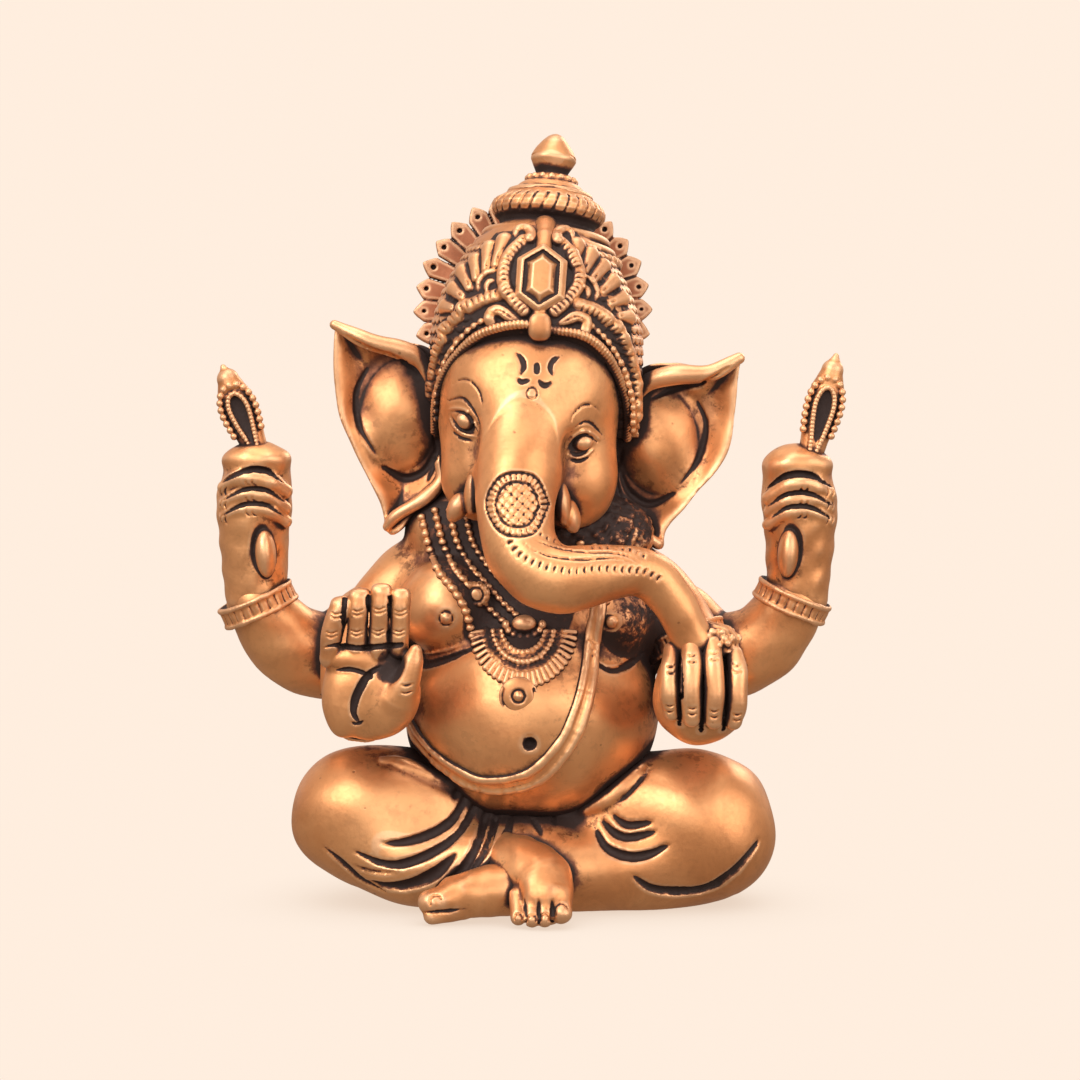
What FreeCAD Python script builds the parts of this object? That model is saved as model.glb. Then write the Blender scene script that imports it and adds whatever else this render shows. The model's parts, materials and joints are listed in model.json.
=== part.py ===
"""Seated four-armed Ganesha idol, cast in brass in sections that are brazed together.

Millimetres, +Z up, the front faces -Y and +X is the viewer's right. The origin is the centre of
the footprint of the whole idol, on the surface that it rests on.

Every size is a cell of the sheet "Sizes". A round section is a chain of stations, each one a
centre and a radius, and the stations are cells too. Sections that touch are cut with each
other's outer form, so they meet face to face along the brazed seams.
"""
import FreeCAD, Part
import math
import os
import Sketcher
from FreeCAD import Placement, Rotation, Vector

NUDGE = 1.0  # how far a cutting tool runs past the face that it cuts, mm
KNUCKLE = 1.04  # a digit's rounded ends over its shaft, in radius

SIZES = {
    # where the footprint's centre lies in the coordinates that the sizes below use
    "frame_x": 0.0, "frame_y": -11.6,
    # torso: belly, chest, breasts and neck, a closed shell round its core
    "belly_x": 1.5, "belly_y": -6.0, "belly_z": 55.5,
    "belly_rx": 38.0, "belly_ry": 35.0, "belly_rz": 33.0,
    "chest_x": 0.5, "chest_y": 0.0, "chest_z": 88.0,
    "chest_rx": 37.0, "chest_ry": 24.0, "chest_rz": 25.0,
    "breast_x": 22.5, "breast_y": -15.0, "breast_z": 87.0, "breast_r": 14.0,
    "neck_r": 17.0, "neck_y": -4.0, "neck_low": 96.0, "neck_tall": 24.0,
    "shell_wall": 4.5, "plug_r": 6.0, "plug_low": 20.5, "plug_tall": 7.0,
    # seat: crossed legs in a dhoti, hollow and open underneath
    "pelvis_x": 0.0, "pelvis_y": 8.0, "pelvis_z": 17.0,
    "pelvis_rx": 52.0, "pelvis_ry": 34.0, "pelvis_rz": 28.0,
    "right_knee_x": -38.0, "right_knee_y": -12.0, "right_knee_z": 23.0,
    "right_knee_rx": 31.5, "right_knee_ry": 29.0, "right_knee_rz": 23.5,
    "left_knee_x": 41.0, "left_knee_y": -12.0, "left_knee_z": 20.5,
    "left_knee_rx": 32.0, "left_knee_ry": 29.0, "left_knee_rz": 25.0,
    "shin_x": 0.0, "shin_y": -20.0, "shin_z": 11.0,
    "shin_rx": 48.0, "shin_ry": 24.0, "shin_rz": 15.5,
    "seat_wall": 5.5, "well_half": 27.0, "well_front": -27.0, "well_deep": 49.0, "well_tall": 14.0,
    # head, in its own frame: leaned towards +X and tipped back about its centre
    "head_x": 0.3, "head_y": -14.0, "head_z": 141.0, "head_lean": 5.5, "head_tip": 5.0,
    "skull_rx": 24.5, "skull_ry": 25.0, "skull_rz": 28.0,
    "cheek_x": 11.0, "cheek_y": -9.0, "cheek_z": -12.0, "cheek_r": 15.5,
    "lip_z": -22.0, "lip_y": -16.0, "lip_r": 9.0,
    "tusk_x": 15.5, "tusk_y": -25.0, "tusk_z": -20.0, "tusk_r": 3.2, "tusk_long": 13.0,
    "ear_root_y": 1.0, "ear_thick": 5.0, "ear_bowl": 70.0,
    # crown, in the head's frame
    "crown_y": 3.0, "crown_z": 26.0, "crown_rx": 32.3, "crown_ry": 30.0, "crown_rz": 37.0,
    "crown_top": 58.0, "crown_back": 27.5, "crown_wall": 8.0, "brow_y": -24.0, "brow_z": 23.0, "brow_slope": 46.0,
    "band_wide": 4.2, "band_proud": 1.8, "spire_y": 6.0,
    "halo_r": 35.0, "halo_y": 29.0, "halo_z": 38.0, "halo_thick": 3.0, "halo_rays": 30,
    "halo_slit": 0.9, "halo_slit_long": 11.0,
    "ring_teeth": 28, "ring_nick": 0.7, "ring_nick_deep": 1.2,
    "jewel_half": 7.0, "jewel_tall": 24.0, "jewel_thick": 2.6, "jewel_z": 33.0, "jewel_lean": 14.0,
    "gem_half": 4.2, "gem_tall": 15.0, "gem_proud": 2.4,
    # ornaments laid on the torso
    "sash_wide": 4.6, "sash_proud": 1.8,
    "collar_x": 1.0, "collar_z": 82.0, "collar_r": 18.0, "collar_hole": 7.5, "collar_proud": 1.6,
    "pendant_x": -2.5, "pendant_z": 64.0, "pendant_r": 5.4, "pendant_proud": 1.0,
    # bangles and armlets
    "bangle_wide": 6.0, "bangle_thick": 2.4, "bangle_nicks": 26, "bangle_nick": 0.7,
    # hands
    "palm_rx": 13.2, "palm_ry": 7.0, "palm_rz": 14.0,
    "cup_rx": 13.4, "cup_ry": 11.0, "cup_rz": 13.5,
    "fist_rx": 11.4, "fist_ry": 11.0, "fist_rz": 21.5, "sweet_r": 7.0,
    # what the rear hands hold
    "leaf_half": 6.6, "leaf_tall": 24.0, "leaf_thick": 6.0, "leaf_dent": 1.6,
    "tip_r": 3.4, "tip_tall": 8.0,
    # feet
    "instep_rx": 10.0, "instep_ry": 9.5, "instep_rz": 15.0,
    "sole_rx": 12.5, "sole_ry": 8.0, "sole_rz": 7.5,
}

# Round sections as stations (x, y, z, radius). Those of the trunk are in the head's frame.
STATIONS = {
    "trunk": [(0, -12, 2, 17.0), (-1, -22, -8, 14.5), (-0.8, -31, -22, 11.6), (3.0, -36, -38, 11.0),
              (15.5, -37.5, -42.5, 9.8), (28.5, -35.5, -38.5, 8.2), (38.5, -33.5, -38.5, 7.2),
              (47.0, -31.5, -45.5, 6.3), (50.5, -30.0, -54.5, 5.8)],
    "right_front_arm": [(-32, 4, 98, 12.0), (-42, 0, 90, 12.0), (-48.5, -4, 76, 11.5),
                        (-50, -14, 64, 10.5), (-48, -27, 61, 9.2), (-46, -38, 61, 8.6)],
    "left_front_arm": [(32, 4, 96, 12.0), (43.5, 0, 88, 12.0), (51, -4, 74.5, 11.5),
                       (52.5, -14, 63, 10.5), (51, -27, 60, 9.2), (49.5, -38, 60, 8.6)],
    "right_rear_arm": [(-28, 13, 92, 11.5), (-45, 13, 80, 13.0), (-60, 10, 70.5, 14.0),
                       (-73, 5, 76.5, 12.0), (-80.5, 1, 88.5, 10.0)],
    "left_rear_arm": [(28, 13, 90, 11.5), (44, 13, 80, 13.0), (58, 10, 70.5, 14.0),
                      (71, 5, 76.5, 12.0), (79, 1, 88.5, 10.0)],
    "necklace": [(-22, -9, 109, 3.4), (-19.5, -21, 101, 3.6), (-13, -29, 91, 3.8), (0, -33.5, 84.5, 4.0),
                 (13, -29, 91, 3.8), (19.5, -21, 101, 3.6), (22, -9, 109, 3.4)],
}

# Fingers and toes as straight capsules: first end, last end, radius.
DIGITS = {
    "right_front_hand": [((-53.5, -47, 74), (-55, -48, 89), 2.9), ((-47.3, -47, 74), (-47.6, -48.5, 92), 3.0),
                         ((-41, -47, 74), (-41, -48.5, 92.5), 3.0), ((-35, -47, 74), (-34.8, -48, 91.5), 2.9),
                         ((-38, -49, 62), (-31.5, -50, 78), 3.6)],
    "left_front_hand": [((39.8, -52, 57), (41.5, -51, 77), 2.9), ((46, -54, 56), (47, -53, 79), 3.1),
                        ((52.5, -54, 56), (53, -53, 79), 3.1), ((59, -52, 57), (58.5, -51, 77), 2.9)],
    "right_rear_hand": [((-90, -10, 129), (-72, -9, 129), 3.6), ((-90, -11, 122.5), (-72, -10, 123.5), 3.4),
                        ((-90, -11, 116), (-72, -10.5, 118), 3.4), ((-78, -13, 112), (-76.5, -13.5, 99), 3.7)],
    "left_rear_hand": [((73, -9, 128), (90, -10, 128), 3.6), ((73, -10, 122.5), (90, -11, 121.5), 3.4),
                       ((73, -10.5, 117), (90, -11, 115), 3.4), ((76.5, -13.5, 99), (78, -13, 111), 3.7)],
    "right_foot": [((-2.5, -46, 9), (-2.5, -50.5, 3.2), 2.6), ((1.8, -47, 9), (1.8, -52, 3.0), 2.7),
                   ((6.2, -47, 9), (6.2, -52.5, 3.0), 2.7), ((10.8, -46, 10), (10.8, -51.5, 3.6), 3.2)],
    "left_foot": [((-22, -44, 6.5), (-28, -46, 6.0), 4.6), ((-22, -45, 3.6), (-27, -47.5, 3.2), 3.0)],
}

# Centres of hands and feet, and the lean of what the rear hands hold.
CENTRES = {
    "right_front_hand": (-44.8, -46, 66), "left_front_hand": (49.6, -44, 65.5),
    "right_rear_hand": (-80.8, -3, 112.5), "left_rear_hand": (80.8, -3, 111.5),
    "right_foot": (4.0, -41.5, 14.5), "left_foot": (-16.5, -41, 7.3),
    "sweet": (53.5, -42.5, 80.2), "goad": (-79.5, -4.0, 132.0), "noose": (82.5, -4.0, 130.0),
}
LEANS = {"goad": -22.0, "noose": 15.0}

# The ear's outline in the head's frame: x and z of the ear on the +X side.
EAR = [(19, 12), (32, 22), (46, 21.5), (61, 27), (60, 12), (57, -2), (50, -15), (44, -24), (39.5, -33),
       (32, -25), (25, -15), (19, -6)]

doc = FreeCAD.newDocument("GaneshaIdol")
sheet = doc.addObject("Spreadsheet::Sheet", "Sizes")


def all_cells():
    """Every alias with its number: the sizes, then each station's four cells."""
    cells = dict(SIZES)
    for name, stations in STATIONS.items():
        for number, station in enumerate(stations):
            for letter, value in zip("xyzr", station):
                cells[f"{name}_{number}_{letter}"] = value
    return cells


def fill_sheet():
    for row, (alias, value) in enumerate(all_cells().items(), 1):
        sheet.set(f"A{row}", alias)
        sheet.set(f"B{row}", str(value))
        sheet.setAlias(f"B{row}", alias)
    doc.recompute()


def cell(alias):
    """The number that the sheet holds."""
    return float(sheet.get(alias))


def bind(thing, **expressions):
    """Binds properties to expressions. Sizes.NAME is written as NAME with a leading dollar."""
    for name, text in expressions.items():
        thing.setExpression(name.replace("__", "."), text.replace("$", "Sizes."))
    return thing


def put(thing, x="0", y="0", z="0", turn=None):
    """Binds where a thing stands, and turns it."""
    if turn is not None:
        thing.Placement = Placement(Vector(), turn)
    return bind(thing, Placement__Base__x=x, Placement__Base__y=y, Placement__Base__z=z)


def ellipsoid(name, prefix, less="0", grow="0"):
    """The ellipsoid whose cells start with prefix, smaller by less and larger by grow all round."""
    solid = doc.addObject("Part::Ellipsoid", name)
    change = f"-({less})+({grow})".replace("$", "Sizes.")
    solid.Angle1, solid.Angle2, solid.Angle3 = -90, 90, 360
    bind(solid, Radius1=f"${prefix}_rz{change}", Radius2=f"${prefix}_rx{change}",
         Radius3=f"${prefix}_ry{change}")
    return put(solid, f"${prefix}_x", f"${prefix}_y", f"${prefix}_z")


def sphere(name, radius, x="0", y="0", z="0"):
    return put(bind(doc.addObject("Part::Sphere", name), Radius=radius), x, y, z)


def cylinder(name, radius, tall, x="0", y="0", z="0", turn=None):
    return put(bind(doc.addObject("Part::Cylinder", name), Radius=radius, Height=tall), x, y, z, turn)


def block(name, corner, sides):
    solid = bind(doc.addObject("Part::Box", name), Length=sides[0], Width=sides[1], Height=sides[2])
    return put(solid, *corner)


def fuse(name, solids):
    whole = doc.addObject("Part::MultiFuse", name)
    whole.Shapes = solids
    return whole


def common(name, solids):
    shared = doc.addObject("Part::MultiCommon", name)
    shared.Shapes = solids
    return shared


def cut(name, solid, tools):
    """solid less every tool, one after the other."""
    for number, tool in enumerate(tools):
        rest = doc.addObject("Part::Cut", f"{name}_cut_{number}")
        rest.Base, rest.Tool = solid, tool
        solid = rest
    return solid


def limb(name):
    """A round section lofted through its stations, with a slightly smaller ball at each end."""
    stations = STATIONS[name]
    centres = [Vector(*station[:3]) for station in stations]
    rings = []
    for number, centre in enumerate(centres):
        before, after = centres[max(number - 1, 0)], centres[min(number + 1, len(centres) - 1)]
        ring = bind(doc.addObject("Part::Circle", f"{name}_ring_{number}"),
                    Radius=f"${name}_{number}_r")
        rings.append(put(ring, *(f"${name}_{number}_{letter}" for letter in "xyz"),
                         turn=Rotation(Vector(0, 0, 1), after - before)))
    loft = doc.addObject("Part::Loft", f"{name}_loft")
    loft.Sections, loft.Solid, loft.Ruled = rings, True, False
    ends = [sphere(f"{name}_end_{number}", f"${name}_{number}_r-0.35",
                   *(f"${name}_{number}_{letter}" for letter in "xyz"))
            for number in (0, len(stations) - 1)]
    return fuse(f"{name}_form", [loft, *ends])


def capsule(name, first, last, radius):
    """A finger, thumb or toe: a cylinder with a slightly fuller ball at each end."""
    first, last = Vector(*first), Vector(*last)
    shaft = doc.addObject("Part::Cylinder", f"{name}_shaft")
    shaft.Radius, shaft.Height = radius, (last - first).Length
    shaft.Placement = Placement(first, Rotation(Vector(0, 0, 1), last - first))
    balls = []
    for label, place in (("near", first), ("far", last)):
        ball = doc.addObject("Part::Sphere", f"{name}_{label}")
        ball.Radius = radius * KNUCKLE
        ball.Placement = Placement(place, Rotation())
        balls.append(ball)
    return [shaft, *balls]


def digits(name):
    pieces = []
    for number, digit in enumerate(DIGITS[name]):
        pieces += capsule(f"{name}_digit_{number}", *digit)
    return pieces


def mass(name, prefix):
    """The ellipsoid at a hand's or foot's centre, its radii in the cells that start with prefix."""
    solid = doc.addObject("Part::Ellipsoid", f"{name}_mass")
    solid.Angle1, solid.Angle2, solid.Angle3 = -90, 90, 360
    bind(solid, Radius1=f"${prefix}_rz", Radius2=f"${prefix}_rx", Radius3=f"${prefix}_ry")
    solid.Placement = Placement(Vector(*CENTRES[name]), Rotation())
    return solid


def head_place():
    """The head's frame: tipped back, then leaned towards +X."""
    lean = Rotation(Vector(0, 1, 0), cell("head_lean"))
    tip = Rotation(Vector(1, 0, 0), -cell("head_tip"))
    return Placement(Vector(cell("head_x"), cell("head_y"), cell("head_z")), lean * tip)


def in_head(thing):
    """Carries a thing made in the head's frame to where the head is."""
    thing.Placement = head_place()
    return bind(thing, Placement__Base__x="$head_x", Placement__Base__y="$head_y",
                Placement__Base__z="$head_z")


# ---- PartDesign bodies ----


def worth(text):
    """The number that an expression comes to."""
    return float(sheet.evalExpression(text))


def body(name):
    return doc.addObject("PartDesign::Body", name)


def plane(owner, role):
    return next(item for item in owner.Origin.OriginFeatures if item.Role == role)


def sketch(owner, name, role, points):
    """A closed polygon on one of the body's planes, each corner's two distances bound to the sheet."""
    drawing = owner.newObject("Sketcher::SketchObject", name)
    drawing.AttachmentSupport = [(plane(owner, role), "")]
    drawing.MapMode = "FlatFace"
    places = [tuple(worth(text) for text in point) for point in points]
    for first, last in zip(places, places[1:] + places[:1]):
        drawing.addGeometry(Part.LineSegment(Vector(*first, 0), Vector(*last, 0)), False)
    for number in range(len(places)):
        drawing.addConstraint(Sketcher.Constraint("Coincident", number, 2, (number + 1) % len(places), 1))
    for number, point in enumerate(points):
        for kind, text in zip(("DistanceX", "DistanceY"), point):
            at = drawing.addConstraint(Sketcher.Constraint(kind, -1, 1, number, 1, worth(text)))
            drawing.setExpression(f"Constraints[{at}]", text)
    return drawing


def circle_sketch(owner, name, role, radius):
    drawing = owner.newObject("Sketcher::SketchObject", name)
    drawing.AttachmentSupport = [(plane(owner, role), "")]
    drawing.MapMode = "FlatFace"
    drawing.addGeometry(Part.Circle(Vector(), Vector(0, 0, 1), worth(radius)), False)
    drawing.addConstraint(Sketcher.Constraint("Coincident", 0, 3, -1, 1))
    at = drawing.addConstraint(Sketcher.Constraint("Radius", 0, worth(radius)))
    drawing.setExpression(f"Constraints[{at}]", radius)
    return drawing


def s(text):
    """Sheet names in an expression."""
    return text.replace("$", "Sizes.")


def points_of(rows):
    return [tuple(s(text) for text in row) for row in rows]


def lathe(owner, name, profile):
    """A profile of (radius, height) turned about the body's Z axis."""
    drawing = sketch(owner, f"{name}_profile", "XZ_Plane", points_of(profile))
    turned = owner.newObject("PartDesign::Revolution", f"{name}_turned")
    turned.Profile = drawing
    turned.ReferenceAxis = (drawing, ["V_Axis"])
    turned.Angle = 360
    doc.recompute()
    return turned


def nicks(owner, name, corners, tall, count):
    """Pockets cut down from the body's XY plane, repeated round its Z axis."""
    drawing = sketch(owner, f"{name}_nick", "XY_Plane", points_of(corners))
    pocket = owner.newObject("PartDesign::Pocket", f"{name}_pocket")
    pocket.Profile = drawing
    pocket.Type = "Length"
    pocket.Midplane = True
    bind(pocket, Length=tall)
    doc.recompute()
    ring = owner.newObject("PartDesign::PolarPattern", f"{name}_pattern")
    ring.Originals = [pocket]
    ring.Axis = (plane(owner, "Z_Axis"), [""])
    ring.Angle = 360
    bind(ring, Occurrences=count)
    owner.Tip = ring
    doc.recompute()
    return ring


# ---- the sections ----


def torso_form():
    belly = ellipsoid("belly", "belly")
    chest = ellipsoid("chest", "chest")
    breasts = [sphere(f"breast_{side}", "$breast_r", f"{sign}$breast_x", "$breast_y", "$breast_z")
               for side, sign in (("right", "-"), ("left", ""))]
    neck = cylinder("neck", "$neck_r", "$neck_tall", "$head_x", "$neck_y", "$neck_low")
    return fuse("torso_form", [belly, chest, *breasts, neck])


def torso_sections(form):
    """The torso's shell round its core, and the plug that closes the core's vent."""
    core = fuse("torso_core", [ellipsoid("belly_core", "belly", less="$shell_wall"),
                               ellipsoid("chest_core", "chest", less="$shell_wall")])
    vent = cylinder("torso_vent", "$plug_r", "$plug_tall", "$belly_x", "$belly_y", "$plug_low")
    plug = cylinder("plug_form", "$plug_r", "$plug_tall", "$belly_x", "$belly_y", "$plug_low")
    return {"torso": cut("torso", form, [core, vent]), "core_plug": fuse_one("core_plug", plug)}


def fuse_one(name, solid):
    """A node of its own for one solid, so that its Placement can carry the frame's offset."""
    kept = doc.addObject("Part::Compound", f"{name}_node")
    kept.Links = [solid]
    return kept


def seat_form():
    lobes = [ellipsoid(name, name) for name in ("pelvis", "right_knee", "left_knee", "shin")]
    ground = block("under_ground", ("-100", "-100", "-60"), ("200", "200", "60"))
    return cut("seat_form", fuse("seat_lobes", lobes), [ground])


def seat_section(form, torso):
    """The crossed legs, with a hollow in each knee that opens into the well underneath, and the
    torso's seat cut into the top."""
    hollows = [sphere(f"{name}_hollow", f"${name}_rz-$seat_wall", f"${name}_x", f"${name}_y", f"${name}_z")
               for name in ("right_knee", "left_knee")]
    well = block("seat_well", ("-$well_half", "$well_front", str(-NUDGE)),
                 ("2*$well_half", "$well_deep", f"$well_tall+{NUDGE}"))
    return {"seat": cut("seat", form, [torso, *hollows, well])}


def skull_form():
    """The head casting with its trunk, in the head's frame."""
    skull = bind(doc.addObject("Part::Ellipsoid", "skull"), Radius1="$skull_rz", Radius2="$skull_rx",
                 Radius3="$skull_ry")
    skull.Angle1, skull.Angle2, skull.Angle3 = -90, 90, 360
    cheeks = [sphere(f"cheek_{side}", "$cheek_r", f"{sign}$cheek_x", "$cheek_y", "$cheek_z")
              for side, sign in (("right", "-"), ("left", ""))]
    lip = sphere("lower_lip", "$lip_r", "0", "$lip_y", "$lip_z")
    return fuse("skull_form", [skull, *cheeks, lip])


def head_form():
    return in_head(fuse("head_form", [skull_form(), limb("trunk")]))


def tusks(head):
    made = {}
    for side, sign in (("right", "-"), ("left", "")):
        cone = bind(doc.addObject("Part::Cone", f"tusk_cone_{side}"), Radius1="$tusk_r",
                    Radius2="$tusk_r*0.4", Height="$tusk_long")
        put(cone, f"{sign}$tusk_x", "$tusk_y", "$tusk_z+$tusk_long/2",
            turn=Rotation(Vector(1, 0, 0), 180 - 18))
        made[f"{side}_tusk"] = cut(f"{side}_tusk", in_head(fuse_one(f"tusk_{side}", cone)), [head])
    return made


def ear_plate(side, sign):
    """An ear: its outline padded along Y, kept where it lies inside a bowl's wall."""
    owner = body(f"ear_blank_{side}")
    outline = [(str(sign * x), str(z)) for x, z in EAR]
    drawing = sketch(owner, f"ear_outline_{side}", "XZ_Plane", outline)
    pad = owner.newObject("PartDesign::Pad", f"ear_pad_{side}")
    pad.Profile, pad.Length, pad.Midplane = drawing, 60, True
    doc.recompute()
    centre = (f"{'-' if sign < 0 else ''}40", "$ear_root_y-$ear_bowl+4", "0")
    outer = sphere(f"ear_outer_{side}", "$ear_bowl+$ear_thick", *centre)
    inner = sphere(f"ear_inner_{side}", "$ear_bowl", *centre)
    return in_head(common(f"ear_form_{side}", [owner, *[cut(f"ear_bowl_{side}", outer, [inner])]]))


def dome_form(name, change):
    """The crown's ellipsoid in the head's frame, its three radii changed by an expression."""
    dome = bind(doc.addObject("Part::Ellipsoid", name), Radius1=f"$crown_rz{change}",
                Radius2=f"$crown_rx{change}", Radius3=f"$crown_ry{change}")
    dome.Angle1, dome.Angle2, dome.Angle3 = -90, 90, 360
    return put(dome, "0", "$crown_y", "$crown_z")


def brow_slab(name, low, tall):
    """A wide slab parallel to the brow plane, from low to low + tall along the plane's normal."""
    slab = block(name, ("0", "0", "0"), ("160", "160", tall))
    slope = Rotation(Vector(1, 0, 0), -cell("brow_slope"))
    corner = Vector(0, cell("brow_y"), cell("brow_z")) + slope.multVec(Vector(-80, -80, low))
    slab.Placement = Placement(corner, slope)
    for axis in "xyz":
        slab.setExpression(f"Placement.Base.{axis}", None)
    return slab


def crown_sections(head):
    """The cap of the crown, the roped band along its brow, and the rayed disc behind it."""
    made = {}
    dome, core = dome_form("crown_dome", ""), dome_form("crown_core", "-$crown_wall")
    core = in_head(fuse_one("crown_core", core))
    lid = block("crown_lid", ("-60", "-60", "$crown_top"), ("120", "120", "60"))
    behind = block("crown_behind", ("-60", "$crown_back", "-60"), ("120", "60", "200"))
    face_side = brow_slab("crown_face_side", -100, "100")
    solid = in_head(cut("crown_solid", dome, [lid, behind, face_side]))
    made["crown"] = cut("crown", solid, [core, head])

    grown = dome_form("band_dome", "+$band_proud")
    strip = common("band_strip", [grown, brow_slab("band_slab", -1.2, "$band_wide")])
    made["crown_band"] = cut("crown_band", in_head(strip), [solid, head])

    disc = halo_body()
    made["halo_disc"] = in_head(fuse_one("halo_disc", disc))
    return made, solid


def halo_body():
    """The rayed disc: a pad with a slit between every two rays."""
    owner = body("halo_blank")
    pad = owner.newObject("PartDesign::Pad", "halo_pad")
    pad.Profile = circle_sketch(owner, "halo_circle", "XY_Plane", s("$halo_r"))
    pad.Midplane = True
    bind(pad, Length="$halo_thick")
    doc.recompute()
    nicks(owner, "halo", [("$halo_r-$halo_slit_long", "-$halo_slit/2"), ("$halo_r+1", "-$halo_slit/2-0.9"),
                          ("$halo_r+1", "$halo_slit/2+0.9"), ("$halo_r-$halo_slit_long", "$halo_slit/2")],
          "$halo_thick+2", "$halo_rays")
    return put(owner, "0", "$halo_y", "$halo_z", turn=Rotation(Vector(1, 0, 0), 90))


def spire_sections():
    """What stands on the crown: the collared ring, the lotus cone and the finial, each turned."""
    ring = body("ring_body")
    lathe(ring, "ring", [("0", "0"), ("15.5", "0"), ("14.6", "3"), ("17.6", "5"), ("18.2", "7.5"),
                         ("16.6", "10"), ("13.0", "11.5"), ("0", "11.5")])
    nicks(ring, "ring", [("16.8", "-$ring_nick/2"), ("20", "-$ring_nick/2"), ("20", "$ring_nick/2"),
                         ("16.8", "$ring_nick/2")], "40", "$ring_teeth")
    cone = body("cone_body")
    lathe(cone, "cone", [("0", "11.5"), ("12.6", "11.5"), ("12.2", "13.2"), ("9.8", "14.4"), ("8.0", "16.6"),
                         ("6.0", "17.4"), ("0", "17.4")])
    finial = body("finial_body")
    lathe(finial, "finial", [("0", "17.4"), ("5.2", "17.4"), ("5.0", "18.6"), ("6.9", "21.6"),
                             ("6.6", "23.4"), ("4.6", "26.6"), ("2.2", "29.0"), ("0", "29.8")])
    made = {}
    for name, owner in (("crown_ring", ring), ("crown_cone", cone), ("crown_finial", finial)):
        put(owner, "0", "$spire_y", "$crown_top")
        made[name] = in_head(fuse_one(name, owner))
    return made


def jewel_section(crown):
    """The six-sided front jewel: a frame plate with a raised gem, leaned back with the dome."""
    owner = body("jewel_body")
    plate = owner.newObject("PartDesign::Pad", "jewel_plate")
    plate.Profile = sketch(owner, "jewel_outline", "XZ_Plane", points_of([
        ("0", "-$jewel_tall/2"), ("$jewel_half", "-$jewel_tall/4"), ("$jewel_half", "$jewel_tall/4"),
        ("0", "$jewel_tall/2"), ("-$jewel_half", "$jewel_tall/4"), ("-$jewel_half", "-$jewel_tall/4")]))
    bind(plate, Length="$jewel_thick+8")
    plate.Midplane = True
    doc.recompute()
    gem = owner.newObject("PartDesign::Pad", "gem_pad")
    gem.Profile = sketch(owner, "gem_outline", "XZ_Plane", points_of([
        ("0", "-$gem_tall/2"), ("$gem_half", "-$gem_tall/4"), ("$gem_half", "$gem_tall/4"),
        ("0", "$gem_tall/2"), ("-$gem_half", "$gem_tall/4"), ("-$gem_half", "-$gem_tall/4")]))
    bind(gem, Length="$jewel_thick+8+2*$gem_proud")
    gem.Midplane = True
    doc.recompute()
    put(owner, "0", "$crown_y-$crown_ry+2.0", "$jewel_z", turn=Rotation(Vector(1, 0, 0), -cell("jewel_lean")))
    return {"crown_jewel": cut("crown_jewel", in_head(fuse_one("jewel", owner)), [crown])}


def ornament_sections(torso, seat, head, breast_arms):
    """What lies on the torso: the sacred thread's sash, the necklace, the collar and its pendant."""
    made = {}
    grown = ellipsoid("sash_belly", "belly", grow="$sash_proud")
    slab = block("sash_slab", ("0", "0", "0"), ("200", "200", "$sash_wide"))
    along = Rotation(Vector(0, 0, 1), Vector(0.2715, 0.825, -0.496))
    for axis in "xyz":
        slab.setExpression(f"Placement.Base.{axis}", None)
    through = Vector(-3.4, -36.4, 39.7)
    slab.Placement = Placement(through + along.multVec(Vector(-100, -100, -cell("sash_wide") / 2)), along)
    made["sash"] = cut("sash", common("sash_strip", [grown, slab]), [torso, seat])

    made["necklace"] = cut("necklace", limb("necklace"), [torso, head, *breast_arms])

    front = Rotation(Vector(1, 0, 0), 90)
    outer = cylinder("collar_outer", "$collar_r", "50", "$collar_x", "0", "$collar_z", front)
    hole = cylinder("collar_hole_tool", "$collar_hole", "60", "$collar_x", "5", "$collar_z", front)
    skin = fuse("collar_skin", [ellipsoid("collar_belly", "belly", grow="$collar_proud"),
                                ellipsoid("collar_chest", "chest", grow="$collar_proud")])
    below = block("collar_above", ("-60", "-80", "$collar_z"), ("120", "100", "60"))
    made["collar"] = cut("collar", common("collar_disc", [outer, skin]),
                         [hole, below, torso, made["necklace"], made["sash"]])
    disc = cylinder("pendant_disc", "$pendant_r", "60", "$pendant_x", "0", "$pendant_z", front)
    skin = ellipsoid("pendant_belly", "belly", grow="$pendant_proud")
    made["pendant"] = cut("pendant", common("pendant_coin", [disc, skin]), [torso, made["collar"]])
    return made


def bangle(name, arm, number, share, tools):
    """A nicked ring round an arm, share of the way from one station to the next."""
    first, last = (Vector(*STATIONS[arm][number + step][:3]) for step in (0, 1))
    radius = STATIONS[arm][number][3] * (1 - share) + STATIONS[arm][number + 1][3] * share
    owner = body(f"{name}_body")
    outer = f"{radius}+$bangle_thick"
    lathe(owner, name, [(f"{radius}-3", "-$bangle_wide/2"), (f"{outer}-1", "-$bangle_wide/2"),
                        (outer, "-$bangle_wide/4"), (outer, "$bangle_wide/4"),
                        (f"{outer}-1", "$bangle_wide/2"), (f"{radius}-3", "$bangle_wide/2")])
    nicks(owner, name, [(f"{outer}-0.7", "-$bangle_nick/2"), (f"{outer}+1", "-$bangle_nick/2"),
                        (f"{outer}+1", "$bangle_nick/2"), (f"{outer}-0.7", "$bangle_nick/2")],
          "$bangle_wide+2", "$bangle_nicks")
    owner.Placement = Placement(first + (last - first) * share, Rotation(Vector(0, 0, 1), last - first))
    return {name: cut(name, owner, tools)}


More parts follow.
